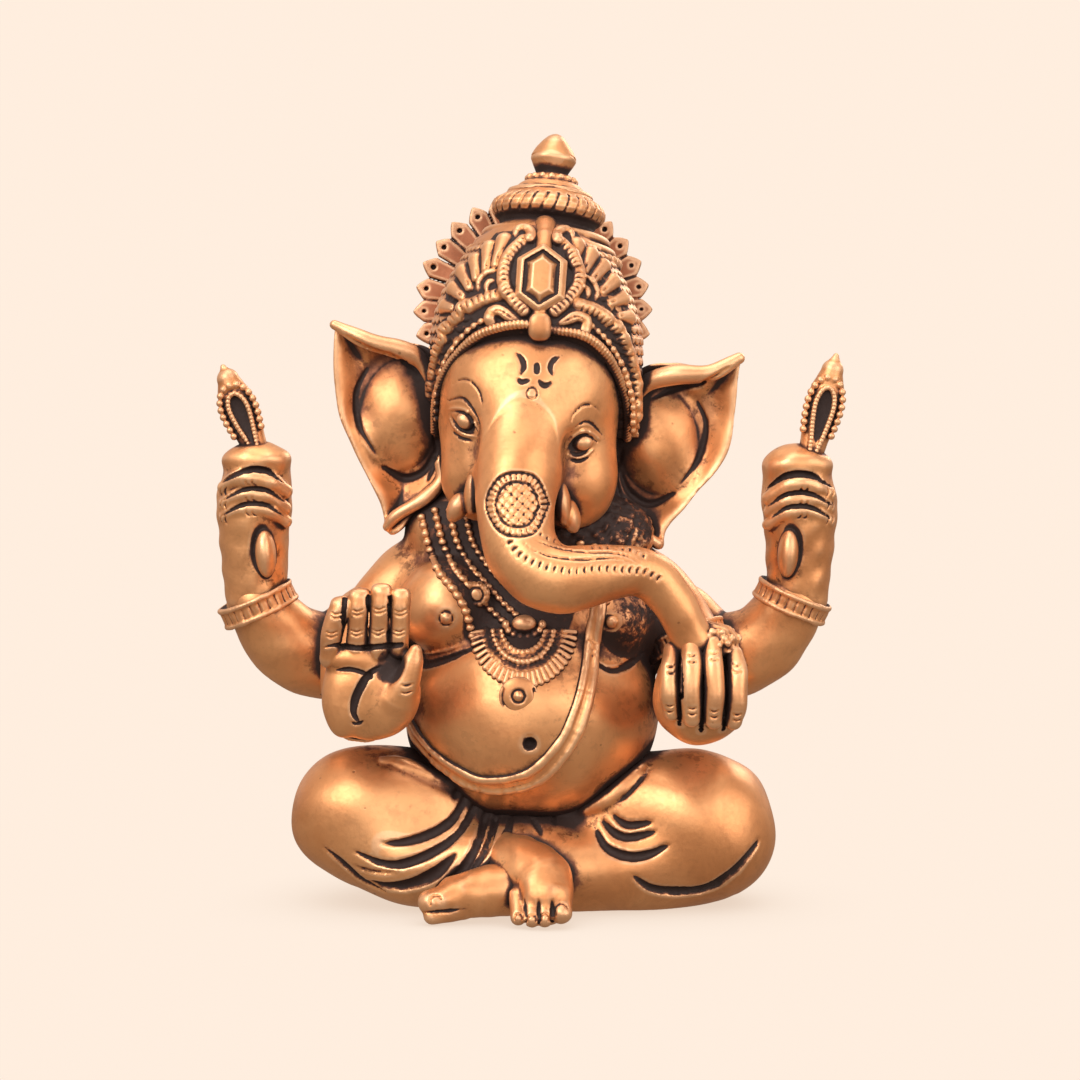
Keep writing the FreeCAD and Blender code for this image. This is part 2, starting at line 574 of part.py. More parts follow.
def arm_sections(torso, seat, head):
    """Four arms, each cut where it meets the torso and the arm in front of it, with their rings."""
    made, forms = {}, {}
    for name in ("right_front_arm", "left_front_arm", "right_rear_arm", "left_rear_arm"):
        forms[name] = limb(name)
    for side in ("right", "left"):
        front, rear = f"{side}_front_arm", f"{side}_rear_arm"
        made[front] = cut(front, forms[front], [torso, seat])
        made[rear] = cut(rear, forms[rear], [torso, seat, forms[front]])
        made.update(bangle(f"{side}_front_bangle", front, 4, 0.35, [forms[front], seat]))
        made.update(bangle(f"{side}_rear_bangle", rear, 3, 0.7, [forms[rear]]))
        made.update(bangle(f"{side}_armlet", front, 1, 0.45, [forms[front], torso, forms[rear]]))
    return made, forms


def hand_sections(made, forms, head):
    """The hands with their fingers, the sweet under the trunk's tip and what the rear hands hold."""
    hands = {}
    for name, prefix in (("right_front_hand", "palm"), ("left_front_hand", "cup"),
                         ("right_rear_hand", "fist"), ("left_rear_hand", "fist")):
        solids = [mass(name, prefix), *digits(name)]
        side, where = name.split("_")[:2]
        hands[name] = cut(name, fuse(f"{name}_form", solids),
                          [forms[f"{side}_{where}_arm"], made[f"{side}_{where}_bangle"]])
        if name == "left_front_hand":
            hands["sweet"] = cut("sweet", sweet_ball(), [*solids, head])
    for name, side in (("goad", "right"), ("noose", "left")):
        hands[name] = cut(name, held_leaf(name), [hands[f"{side}_rear_hand"]])
    return hands


def sweet_ball():
    ball = doc.addObject("Part::Sphere", "sweet_ball")
    ball.Placement = Placement(Vector(*CENTRES["sweet"]), Rotation())
    return bind(ball, Radius="$sweet_r")


def held_leaf(name):
    """A leaf-shaped head with a dented face and a turned tip, on one leaning axis."""
    owner = body(f"{name}_body")
    pad = owner.newObject("PartDesign::Pad", f"{name}_pad")
    half, tall = "$leaf_half", "$leaf_tall"
    rows = [("-2.6", "-4"), ("2.6", "-4"), (f"{half}*0.7", f"{tall}*0.3"), (half, f"{tall}*0.62"),
            (f"{half}*0.8", f"{tall}*0.84"), ("2.4", tall), ("-2.4", tall),
            (f"-{half}*0.8", f"{tall}*0.84"), (f"-{half}", f"{tall}*0.62"), (f"-{half}*0.7", f"{tall}*0.3")]
    pad.Profile = sketch(owner, f"{name}_outline", "XZ_Plane", points_of(rows))
    pad.Midplane = True
    bind(pad, Length="$leaf_thick")
    doc.recompute()
    dent = owner.newObject("PartDesign::Pocket", f"{name}_dent")
    rows = [("0", f"{tall}*0.2"), (f"{half}*0.5", f"{tall}*0.5"), (f"{half}*0.5", f"{tall}*0.7"),
            ("0", f"{tall}*0.84"), (f"-{half}*0.5", f"{tall}*0.7"), (f"-{half}*0.5", f"{tall}*0.5")]
    face = sketch(owner, f"{name}_dent_outline", "XZ_Plane", points_of(rows))
    face.AttachmentOffset = Placement(Vector(0, 0, cell("leaf_thick") / 2 - cell("leaf_dent")), Rotation())
    dent.Profile = face
    dent.Type = "Length"
    dent.Length = 10
    dent.Reversed = True
    doc.recompute()
    tip = lathe(owner, f"{name}_tip", [("0", tall), ("$tip_r*0.8", tall), ("$tip_r", f"{tall}+1.5"),
                                       ("$tip_r*0.6", f"{tall}+$tip_tall*0.6"), ("0", f"{tall}+$tip_tall")])
    owner.Tip = tip
    owner.Placement = Placement(Vector(*CENTRES[name]), Rotation(Vector(0, 1, 0), LEANS[name]))
    return owner


def foot_sections(seat):
    made = {}
    ground = block("feet_ground", ("-100", "-100", "-60"), ("200", "200", "60"))
    for name, prefix in (("right_foot", "instep"), ("left_foot", "sole")):
        form = fuse(f"{name}_form", [mass(name, prefix), *digits(name)])
        tools = [seat, ground]
        if name == "left_foot":
            tools.append(made["right_foot"])
        made[name] = cut(name, form, tools)
    return made


def ear_sections(head, crown, band):
    made = {}
    for side, sign in (("right", -1), ("left", 1)):
        made[f"{side}_ear"] = cut(f"{side}_ear", ear_plate(side, sign), [head, crown, band])
    return made


def build():
    fill_sheet()
    torso, seat, head = torso_form(), seat_form(), head_form()
    nodes = torso_sections(torso)
    nodes.update(seat_section(seat, torso))
    nodes["head"] = cut("head", head, [torso])
    nodes.update(tusks(head))
    crown, dome = crown_sections(head)
    nodes.update(crown)
    nodes.update(spire_sections())
    nodes.update(jewel_section(dome))
    nodes.update(ear_sections(head, dome, crown["crown_band"]))
    arms, forms = arm_sections(torso, seat, head)
    nodes.update(arms)
    nodes.update(hand_sections(arms, forms, head))
    nodes.update(foot_sections(seat))
    nodes.update(ornament_sections(torso, seat, head,
                                   [forms["right_front_arm"], forms["left_front_arm"]]))
    return nodes


def shift_to_frame(nodes):
    """Carries every node from the coordinates of the sizes to the footprint's centre."""
    kept = {}
    for name, solid in nodes.items():
        node = doc.addObject("Part::Compound", name)
        node.Label = name
        node.Links = [solid]
        kept[name] = put(node, "-$frame_x", "-$frame_y", "0")
    doc.recompute()
    return kept


def check(nodes):
    """Stops on any failed object, and on any node that isn't one or more valid solids."""
    failed = [item.Name for item in doc.Objects if {"Invalid", "Error"} & set(item.State)]
    for name, node in nodes.items():
        shape = node.Shape
        if shape.isNull() or not shape.isValid() or not shape.Solids:
            failed.append(f"{name} has no valid solid")
    if failed:
        raise RuntimeError(f"failed: {failed}")


def limits(shape):
    box = shape.optimalBoundingBox(False, False)
    return (f" x {box.XMin:7.2f} {box.XMax:7.2f}  y {box.YMin:7.2f} {box.YMax:7.2f}"
            f"  z {box.ZMin:7.2f} {box.ZMax:7.2f}")


def write(nodes):
    os.makedirs("parts", exist_ok=True)
    for name, node in nodes.items():
        solids = node.Shape.Solids
        shape = solids[0] if len(solids) == 1 else Part.makeCompound(solids)
        shape.exportStep(f"parts/{name}.step")
        print(f"{name:20s} {len(solids)} solid(s) {shape.Volume / 1000:8.2f} cm3 {limits(shape)}")
    print("all", limits(Part.makeCompound([node.Shape for node in nodes.values()])))


NODES = shift_to_frame(build())
check(NODES)
write(NODES)
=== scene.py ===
import json
import math

import bpy
import numpy as np
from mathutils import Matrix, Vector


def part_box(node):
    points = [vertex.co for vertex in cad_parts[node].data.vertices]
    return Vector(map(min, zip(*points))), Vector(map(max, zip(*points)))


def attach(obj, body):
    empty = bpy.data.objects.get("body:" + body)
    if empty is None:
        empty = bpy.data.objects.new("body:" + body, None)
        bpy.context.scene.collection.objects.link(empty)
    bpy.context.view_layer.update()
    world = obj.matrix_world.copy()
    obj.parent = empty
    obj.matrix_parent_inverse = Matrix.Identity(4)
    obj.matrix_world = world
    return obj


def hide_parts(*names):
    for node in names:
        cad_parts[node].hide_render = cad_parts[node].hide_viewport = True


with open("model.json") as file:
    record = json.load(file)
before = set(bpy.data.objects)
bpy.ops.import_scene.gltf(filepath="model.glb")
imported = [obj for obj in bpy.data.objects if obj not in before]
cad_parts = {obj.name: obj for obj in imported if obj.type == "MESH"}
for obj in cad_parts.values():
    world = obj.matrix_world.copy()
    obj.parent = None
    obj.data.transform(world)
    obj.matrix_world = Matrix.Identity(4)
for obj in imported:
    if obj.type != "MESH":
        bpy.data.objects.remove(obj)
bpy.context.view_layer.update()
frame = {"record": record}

import openvdb
from mathutils import Matrix, Vector

# Sculpting coordinates are millimetres: +X the viewer's right, the idol faces -Y, +Z up. The
# idol's belly is at y = -6 in them, and HOME carries them onto the CAD torso's belly.
MM = 0.001
torso_low, torso_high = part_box("torso")
HOME = np.array([(torso_low.x + torso_high.x) / 2 / MM - 1.5,
                 (torso_low.y + torso_high.y) / 2 / MM + 6.0, 0.0])
FAR = 10.0              # distances beyond this aren't kept, mm
SKIN = 2.5              # distances kept on each side of a surface when it is skinned, mm
RAYS = 30               # rays of the halo
BACKDROP = (1.0, 0.855, 0.735)
COARSE = 1.0
HEAD = np.array([0.3, -14.0, 141.0])
LEAN = np.array(Matrix.Rotation(math.radians(5.5), 3, "Y") @ Matrix.Rotation(math.radians(-5), 3, "X"))
CROWN = np.array([2.8, -8.7, 166.5])   # the centre of the crown's dome


# ---- clay: a block of signed distances that forms are added to and cut from ----


def blend_min(a, b, k):
    """The smaller of two distances, with the corner between them rounded over k."""
    if k <= 0:
        return np.minimum(a, b)
    h = np.clip(0.5 + 0.5 * (b - a) / k, 0, 1)
    return b + (a - b) * h - k * h * (1 - h)


class Clay:
    def __init__(self, low, high, step):
        self.low, self.step = np.array(low, float), step * COARSE
        self.count = np.ceil((np.array(high) - self.low) / self.step).astype(int) + 1
        self.d = np.full(self.count, FAR, np.float32)
        self.ink = None            # how far each point is from a place filled with patina

    def span(self):
        return self.low, self.low + self.count * self.step

    def blank(self):
        twin = Clay.__new__(Clay)
        twin.low, twin.step, twin.count, twin.ink = self.low, self.step, self.count, None
        twin.d = np.full(self.count, FAR, np.float32)
        return twin

    def window(self, low, high, pad):
        first = np.floor((np.array(low) - pad - self.low) / self.step).astype(int)
        last = np.ceil((np.array(high) + pad - self.low) / self.step).astype(int) + 1
        first, last = np.clip(first, 0, self.count), np.clip(last, 0, self.count)
        if (last <= first).any():
            return None, None
        grid = [(self.low[i] + self.step * np.arange(first[i], last[i])).astype(np.float32)
                for i in range(3)]
        return tuple(slice(a, b) for a, b in zip(first, last)), \
            (grid[0][:, None, None], grid[1][None, :, None], grid[2][None, None, :])

    def add(self, form, blend=0.0, reach=0.0):
        low, high, distance = form
        here, xyz = self.window(low, high, max(blend, reach) + 1.5)
        if here is not None:
            gap = distance(*xyz)
            self.d[here] = blend_min(self.d[here], gap, blend)
            if self.ink is not None:
                self.ink[here] = np.maximum(self.ink[here], 0.3 - gap)
        return self

    def stain(self, form, bleed=0.1):
        """Fills a form with patina. What is added later comes out clean."""
        if self.ink is None:
            self.ink = np.full(self.count, FAR, np.float32)
        low, high, distance = form
        here, xyz = self.window(low, high, 1.2)
        if here is not None:
            self.ink[here] = np.minimum(self.ink[here], distance(*xyz) - bleed)
        return self

    def cut(self, form, blend=0.0):
        low, high, distance = form
        here, xyz = self.window(low, high, blend + 1.0)
        if here is not None:
            self.d[here] = -blend_min(-self.d[here], distance(*xyz), blend)
        return self

    def keep(self, distance):
        """Cuts away all of the block where distance is positive."""
        here, xyz = self.window(*self.span(), 0)
        self.d[here] = np.maximum(self.d[here], distance(*xyz))
        return self

    def merge(self, other, blend=0.0):
        self.d = blend_min(self.d, other.d, blend)
        if self.ink is not None:
            self.ink = np.maximum(self.ink, 0.3 - other.d)
        return self

    def swell(self, low, high, height):
        """Raises the surface by height(x, y, z) inside a box."""
        here, xyz = self.window(low, high, 0)
        if here is not None:
            self.d[here] -= height(*xyz)
        return self

    def index(self, points):
        return (np.asarray(points, float) - self.low) / self.step

    def normal(self, points):
        at = np.clip(np.round(self.index(points)).astype(int), 1, self.count - 2)
        i, j, k = at.T
        n = np.stack([self.d[i + 1, j, k] - self.d[i - 1, j, k], self.d[i, j + 1, k] - self.d[i, j - 1, k],
                      self.d[i, j, k + 1] - self.d[i, j, k - 1]], axis=1).astype(float)
        return n / np.maximum(np.linalg.norm(n, axis=1, keepdims=True), 1e-6)

    def skin(self, points, toward=(0, 1, 0)):
        """The first surface met from each point along one axis, and the normals there."""
        points = np.asarray(points, float)
        axis = int(np.argmax(np.abs(toward)))
        sign = int(np.sign(toward[axis]))
        at = np.clip(np.round(self.index(points)).astype(int), 0, self.count - 1)
        others = [i for i in range(3) if i != axis]
        lines = np.moveaxis(self.d, axis, -1)[at[:, others[0]], at[:, others[1]]]
        if sign < 0:
            lines = lines[:, ::-1]
        first = np.argmax(lines < 0, axis=1)
        hit = np.take_along_axis(lines < 0, first[:, None], 1)[:, 0] & (first > 0)
        rows = np.arange(len(first))
        a, b = lines[rows, np.maximum(first - 1, 0)], lines[rows, first]
        cells = first - 1 + a / np.maximum(a - b, 1e-6)
        if sign < 0:
            cells = self.count[axis] - 1 - cells
        points[:, axis] = self.low[axis] + cells * self.step
        return points[hit], self.normal(points[hit])


def tipped(degrees):
    """A turn about Y, for a form that leans to one side."""
    return np.array(Matrix.Rotation(math.radians(degrees), 3, "Y"))


def egg(centre, radii, turn=None):
    centre, radii = np.array(centre, float), np.array(radii, float)
    reach = radii if turn is None else np.full(3, radii.max())

    def distance(x, y, z):
        p = [x - centre[0], y - centre[1], z - centre[2]]
        if turn is not None:
            p = [turn[0][i] * p[0] + turn[1][i] * p[1] + turn[2][i] * p[2] for i in range(3)]
        near = np.sqrt(sum((q / r) ** 2 for q, r in zip(p, radii)))
        slope = np.sqrt(sum((q / r ** 2) ** 2 for q, r in zip(p, radii)))
        return near * (near - 1) / np.maximum(slope, 1e-4)
    return centre - reach, centre + reach, distance


def boxy(centre, radii, power):
    """A fuller ellipsoid, nearer to a rounded box the higher the power."""
    centre, radii = np.array(centre, float), np.array(radii, float)

    def distance(x, y, z):
        p = (x - centre[0], y - centre[1], z - centre[2])
        near = sum(np.abs(q / r) ** power for q, r in zip(p, radii)) ** (1 / power)
        return np.sqrt(p[0] ** 2 + p[1] ** 2 + p[2] ** 2) * (1 - 1 / np.maximum(near, 0.05)) * 0.93
    return centre - radii, centre + radii, distance


def ball(centre, radius):
    return egg(centre, (radius, radius, radius))


def rod(a, b, ra, rb=None):
    """A rod from a to b whose radius goes from ra to rb."""
    a, b = np.array(a, float), np.array(b, float)
    rb = ra if rb is None else rb
    along = b - a
    square = max(float(along @ along), 1e-6)
    most = max(ra, rb)

    def distance(x, y, z):
        p = (x - a[0], y - a[1], z - a[2])
        t = np.clip((p[0] * along[0] + p[1] * along[1] + p[2] * along[2]) / square, 0, 1)
        gap = np.sqrt((p[0] - t * along[0]) ** 2 + (p[1] - t * along[1]) ** 2 + (p[2] - t * along[2]) ** 2)
        return gap - (ra + (rb - ra) * t)
    return np.minimum(a, b) - most, np.maximum(a, b) + most, distance


def spline(points, count):
    """A smooth curve through the points, evenly stepped in the parameter."""
    p = np.array(points, float)
    p = np.vstack([2 * p[0] - p[1], p, 2 * p[-1] - p[-2]])
    t = np.linspace(0, len(p) - 3 - 1e-6, count)
    i = t.astype(int)
    f = (t - i)[:, None]
    a, b, c, d = p[i], p[i + 1], p[i + 2], p[i + 3]
    return 0.5 * (2 * b + (c - a) * f + (2 * a - 5 * b + 4 * c - d) * f ** 2 + (3 * b - a - 3 * c + d)
                  * f ** 3)


def even(points, pitch):
    """The curve through the points, stepped evenly along its length."""
    fine = spline(points, 40 * len(points))
    run = np.concatenate([[0], np.cumsum(np.linalg.norm(np.diff(fine, axis=0), axis=1))])
    steps = np.linspace(0, run[-1], max(int(round(run[-1] / pitch)), 1) + 1)
    return np.stack([np.interp(steps, run, fine[:, i]) for i in range(fine.shape[1])], axis=1)


def tube(clay, stations, blend=0.0, pitch=1.2):
    """A limb through stations (x, y, z, radius), joined to the clay over blend."""
    fresh = clay.blank()
    line = even(stations, pitch)
    for a, b in zip(line, line[1:]):
        fresh.add(rod(a[:3], b[:3], a[3], b[3]), reach=blend)
    return clay.merge(fresh, blend)


def string(act, line, *rest):
    """Acts with a rod between each two neighbours of a line."""
    for a, b in zip(line, line[1:]):
        act(rod(a, b, rest[0]), *rest[1:])


def lay(clay, path, pitch=0.5, toward=(0, 1, 0)):
    """A path given in the plane across one axis, laid on the clay's skin."""
    path = np.asarray(path, float)
    if path.shape[1] == 2:
        axis = int(np.argmax(np.abs(toward)))
        full = np.zeros((len(path), 3))
        cols = [i for i in range(3) if i != axis]
        full[:, cols[0]], full[:, cols[1]] = path[:, 0], path[:, 1]
        path = full
    return clay.skin(even(path, pitch), toward)


def taper(count, ends):
    """Radius factors along a stroke: full in the middle, thin towards the pointed ends."""
    t = np.linspace(0, 1, count)
    shape = np.ones(count)
    if "a" in ends:
        shape = np.minimum(shape, np.sqrt(np.clip(t / 0.35, 0, 1)))
    if "b" in ends:
        shape = np.minimum(shape, np.sqrt(np.clip((1 - t) / 0.35, 0, 1)))
    return np.maximum(shape, 0.12)


def stroke(clay, path, radius, depth, ends="ab", raised=False, blend=0.0, toward=(0, 1, 0), dirty=True):
    """A chased groove filled with patina, or a raised line, along a path laid on the skin."""
    points, normals = lay(clay, path, max(radius * 0.5, 0.35), toward)
    if len(points) < 2:
        return clay
    fat = taper(len(points), ends)
    sink = (fat * radius - fat * depth) * (-1 if raised else 1)
    line = points + normals * sink[:, None]
    act = clay.add if raised else clay.cut
    for i in range(len(line) - 1):
        act(rod(line[i], line[i + 1], radius * fat[i], radius * fat[i + 1]), blend)
        if dirty and not raised:
            clay.stain(rod(line[i], line[i + 1], radius * fat[i], radius * fat[i + 1]),
                       0.1 if radius > 0.6 else -0.04)
    return clay


def strokes(clay, paths, radius, depth, **how):
    for path in paths:
        stroke(clay, path, radius, depth, **how)
    return clay


def arc(x, z, radius, first, last, squash=1.0):
    """Points on an arc across Y, angles in degrees from +X towards +Z."""
    turn = np.radians(np.linspace(first, last, 7))
    return np.stack([x + radius * np.cos(turn), z + radius * squash * np.sin(turn)], axis=1)


def beads(clay, points, radius, pitch, sink=0.3, toward=(0, 1, 0), blend=0.0):
    """A row of raised beads along a path laid on the skin."""
    at, normals = lay(clay, points, pitch, toward)
    for p, n in zip(at, normals):
        clay.add(ball(p - n * radius * sink, radius), blend)
    return clay


def rope(clay, line, radius, pitch, slant=0.6, nick=0.3):
    """A twisted rope through 3-D points: a tube with slanted nicks all along it."""
    tube(clay, np.column_stack([line, np.full(len(line), radius)]), 0.2)
    path = even(line, pitch)
    along = np.gradient(path, axis=0)
    along /= np.linalg.norm(along, axis=1, keepdims=True)
    centre = path.mean(axis=0)
    for p, a in zip(path, along):
        out = p - centre
        out -= a * (out @ a)
        out /= max(np.linalg.norm(out), 1e-6)
        for side in (np.cross(a, out), out, (0, -1, 0)):
            side = np.array(side, float)
            side -= a * (side @ a)
            size = np.linalg.norm(side)
            if size < 0.3:
                continue
            side /= size
            across = np.cross(a, side)
            lead = a * slant * radius
            notch = rod(p + side * radius - across * radius * 0.7 - lead * 0.5,
                        p + side * radius + across * radius * 0.7 + lead * 0.5, nick)
            clay.cut(notch)
            clay.stain(notch, -0.1)
    return clay


def lumpy(seed, size, amount):
    """Soft unevenness of a hand-worked casting: a sum of a few slanted waves."""
    pick = np.random.default_rng(seed)
    waves = []
    for _ in range(7):
        way = pick.normal(size=3)
        way *= 2 * math.pi / (size * pick.uniform(0.7, 1.5)) / np.linalg.norm(way)
        waves.append((way, pick.uniform(0, 2 * math.pi)))

    def height(x, y, z):
        total = 0.0
        for way, phase in waves:
            total = total + np.sin(way[0] * x + way[1] * y + way[2] * z + phase)
        return (amount / 3 * total).astype(np.float32)
    return height


def work(clay, seed, size=9.0, amount=0.22):
    return clay.swell(*clay.span(), lumpy(seed, size, amount))


def crust(clay, low, high, size, amount, seed):
    """Rough, pitted casting skin inside a box, fading at its edges."""
    noise = lumpy(seed, size, amount)
    middle, half = (np.array(low) + high) / 2, (np.array(high) - low) / 2

    def height(x, y, z):
        edge = [np.clip((1 - np.abs(v - m) / h) * 3, 0, 1) for v, m, h in zip((x, y, z), middle, half)]
        return noise(x, y, z) * edge[0] * edge[1] * edge[2]
    return clay.swell(low, high, height)


def turned(points):
    """Points of the head's own frame carried to where the head is."""
    return np.array(points, float) @ LEAN.T + HEAD


# ---- the pieces ----


def torso():
    """Belly, chest, shoulders and neck, with the dark ground that the necklaces lie on."""
    clay = Clay((-62, -52, 20), (66, 34, 124), 0.5)
    clay.add(egg((1.5, -6, 55.5), (37.6, 36, 33)))
    clay.add(egg((0.5, 1, 88), (34, 24, 24)), 9)
    clay.add(egg((-23.5, -14.5, 88), (14, 15, 14)), 5)
    clay.add(egg((24, -13.5, 84.5), (13, 15, 13)), 5)
    clay.add(rod((0.5, -2, 92), (1, -6, 116), 17, 15), 8)
    tube(clay, [(-18, 4, 102, 10.5), (-27, 3, 98.5, 12), (-37, 1, 91.5, 12.4), (-44.5, -3, 81.5, 11.4)], 8)
    tube(clay, [(18, 5, 98, 10.5), (28, 4, 95, 12), (39, 1, 88, 12.4), (47, -3, 77.5, 11.4)], 8)
    clay.add(egg((0, 22, 60), (30, 14, 34)), 10)
    # the rough dark mass of the neck behind the ears' lower tips, and the ground of the necklaces
    clay.add(egg((15, -9, 108), (23, 15, 14)), 5)
    clay.add(egg((-19, -4, 110), (17, 11, 13)), 5)
    crust(clay, (2, -40, 98), (42, 10, 126), 2.4, 0.45, 17)
    clay.stain(egg((17, -18, 112), (21, 22, 15)))
    band = outline_distance([(-32, 118), (-28, 103), (-19, 90), (-16, 78), (6, 76), (14, 88), (8, 100),
                             (-8, 108), (-14, 118)])
    clay.stain(((-34, -46, 74), (16, -4, 120), lambda x, y, z: band(x, z)), 0)
    breast = outline_distance([(21, 98), (25, 90), (22, 79), (30, 73), (44, 76), (46, 92), (38, 100)])
    clay.stain(((20, -46, 70), (48, -4, 102),
                lambda x, y, z: np.maximum(breast(x, z), 3 - np.hypot(x - 24.4, z - 84.3))), 0)
    stroke(clay, [(-40, 69.5), (-30, 71), (-22, 73.6), (-14, 77)], 1.1, 1.0, ends="b")
    stroke(clay, [(-38, 72), (-28, 74.6), (-20, 77), (-14, 80)], 0.7, 0.45, ends="ab", raised=True)
    stroke(clay, [(18.5, 73.5), (24, 70.5), (30, 71.5), (37, 75)], 1.0, 0.8)
    for x, z in ((-23.2, 85.4), (24.4, 84.3)):
        points, normals = clay.skin([(x, 0, z)])
        stroke(clay, arc(x, z, 2.0, 0, 360), 0.5, 0.5, ends="")
        clay.add(ball(points[0] - normals[0] * 0.5, 1.5))
    points, normals = clay.skin([(0.9, 0, 50.6)])
    navel = egg(points[0], (1.9, 2.6, 1.8))
    clay.cut(navel, 0.6)
    clay.stain(navel, 0.2)
    stroke(clay, arc(0.9, 50.6, 2.4, 20, 200), 0.4, 0.3)
    # hatched cuts on the left breast and under the arm
    for k in range(4):
        stroke(clay, [(32 + 2.2 * k, 90 - 0.5 * k), (34 + 2.2 * k, 87 - 0.5 * k), (33.4 + 2.2 * k, 83)], 0.4,
               0.4)
    stroke(clay, [(0, 88), (0, 60), (0, 36)], 0.8, 0.5, toward=(0, -1, 0))
    return work(clay, 11, 16, 0.3)


def seat():
    """The crossed legs in their cloth, with its folds, hollow underneath."""
    clay = Clay((-74, -56, -1.2), (78, 46, 51), 0.6)
    clay.add(egg((0, 10, 16), (50, 31, 27)))
    fresh = clay.blank()
    tube(fresh, [(-17, -8, 27, 15.5), (-34, -12, 27.5, 18.4), (-48, -12, 27.0, 19.0), (-53, -11, 27, 16.5)],
         0, 1.2)
    tube(fresh, [(-50, -13, 24.5, 17), (-42, -17, 18.5, 15.8), (-28, -22, 13.5, 13.5), (-12, -27, 13, 12)],
         6, 1.2)
    clay.merge(fresh, 7)
    fresh = clay.blank()
    tube(fresh, [(19, -8, 26, 16), (36, -12, 25, 19.5), (50, -13, 23.6, 21.5), (54, -12, 22.6, 18.5)], 0,
         1.2)
    tube(fresh, [(53, -14, 19.5, 18.6), (40, -18, 13.5, 15), (24, -22, 11.5, 13), (10, -24, 10.5, 12)], 6,
         1.2)
    clay.merge(fresh, 7)
    clay.add(egg((0, -20, 17), (14, 13, 11)), 6)
    work(clay, 12, 20, 0.4)
    # folds of the cloth on the idol's right leg
    folds = [([(-19.5, 36.5), (-21.1, 32.9)], 0.7, 0.8),
             ([(-17, 34.9), (-20.6, 27.8), (-26.7, 23.7), (-34.8, 21.3), (-42, 20.7)], 1.2, 1.4),
             ([(-13.7, 33.6), (-17.5, 25.9), (-24.7, 19.8), (-34.9, 15.2), (-42, 15.0), (-50.3, 18.3)], 1.2,
              1.5),
             ([(-20.2, 18.4), (-25.8, 12.8), (-33, 8.8), (-40, 7.6), (-46, 9)], 1.9, 1.8),
             ([(-10.1, 32.7), (-13.4, 23), (-18.5, 13.8), (-27.2, 6.7)], 1.15, 1.5),
             ([(-7.8, 30.5), (-10.9, 21.3), (-15.9, 13.2)], 1.0, 1.3),
             ([(-4, 28.5), (-6.3, 21.3), (-9.3, 15.7), (-13.4, 13.2)], 1.1, 1.4),
             ([(-59.1, 18.9), (-54, 14.8), (-47.8, 9.1), (-40.5, 5.5)], 0.9, 0.9),
             ([(-37, 12.4), (-44, 12.2), (-50, 13.6)], 0.6, 0.5),
             # and on the left one
             ([(24.6, 28.6), (27.5, 26.2), (30.5, 25.5), (36.4, 26.7)], 0.9, 1.0),
             ([(21.6, 26.7), (26, 23), (30.5, 22.3), (37.2, 24)], 1.0, 1.3),
             ([(19.6, 24.7), (23.2, 19.4), (29.5, 17.1), (35.4, 17.8), (41, 20.4)], 1.2, 1.6),
             ([(30.4, 11.9), (35.7, 7.8), (43, 6.2), (52, 6.8), (60.1, 12.3), (67.8, 21.2)], 1.7, 1.6)]
    for path, radius, depth in folds:
        stroke(clay, path, radius, depth, blend=0.5)
    # the cloth bunched along the top of both thighs, and the short pleats between the legs
    for path in ([(-43, 43.5), (-36, 42.5), (-28, 39.5), (-20, 36)],
                 [(35, 43), (29, 37.5), (23, 32.5), (16, 28.5)]):
        stroke(clay, path, 2.0, 1.0, raised=True, blend=1.6)
    for path in ([(24, 30.5), (29.5, 34), (34.4, 40.4)], [(27, 32.4), (32, 36.6), (36, 41)]):
        stroke(clay, path, 0.55, 0.4)
    for path in ([(-3, 30), (4, 27.5), (12, 29.5)], [(1, 27.5), (3.4, 24.6), (4.4, 22.4)],
                 [(7.5, 28), (8.4, 25)]):
        stroke(clay, path, 0.7, 0.8)
    # folds round the back and the waistband
    back = [[(-58, 30), (-42, 20), (-20, 13), (4, 12)], [(58, 28), (40, 17), (20, 12), (0, 11)],
            [(-52, 38), (-36, 29), (-16, 22), (0, 21)], [(52, 37), (36, 27), (18, 21), (0, 20)]]
    for path in back:
        stroke(clay, path, 1.3, 1.3, toward=(0, -1, 0), blend=0.6)
    stroke(clay, [(-34, 36.5), (-18, 33.5), (0, 32.5), (18, 33.5), (34, 36.5)], 1.9, 1.4, ends="",
           raised=True, toward=(0, -1, 0), blend=0.8)
    for x in np.arange(-30, 31, 3.0):
        z = 32.5 + 4.0 * (x / 34) ** 2
        stroke(clay, [(x - 0.8, z - 1.8), (x + 0.8, z + 1.8)], 0.35, 0.35, toward=(0, -1, 0))
    clay.keep(lambda x, y, z: -z)
    # the hollow underneath
    clay.cut(egg((0, 9, 0), (40, 22, 30)))
    clay.cut(egg((-34, -8, 0), (18, 14, 12)))
    clay.cut(egg((40, -7, 0), (20, 15, 12)))
    return clay


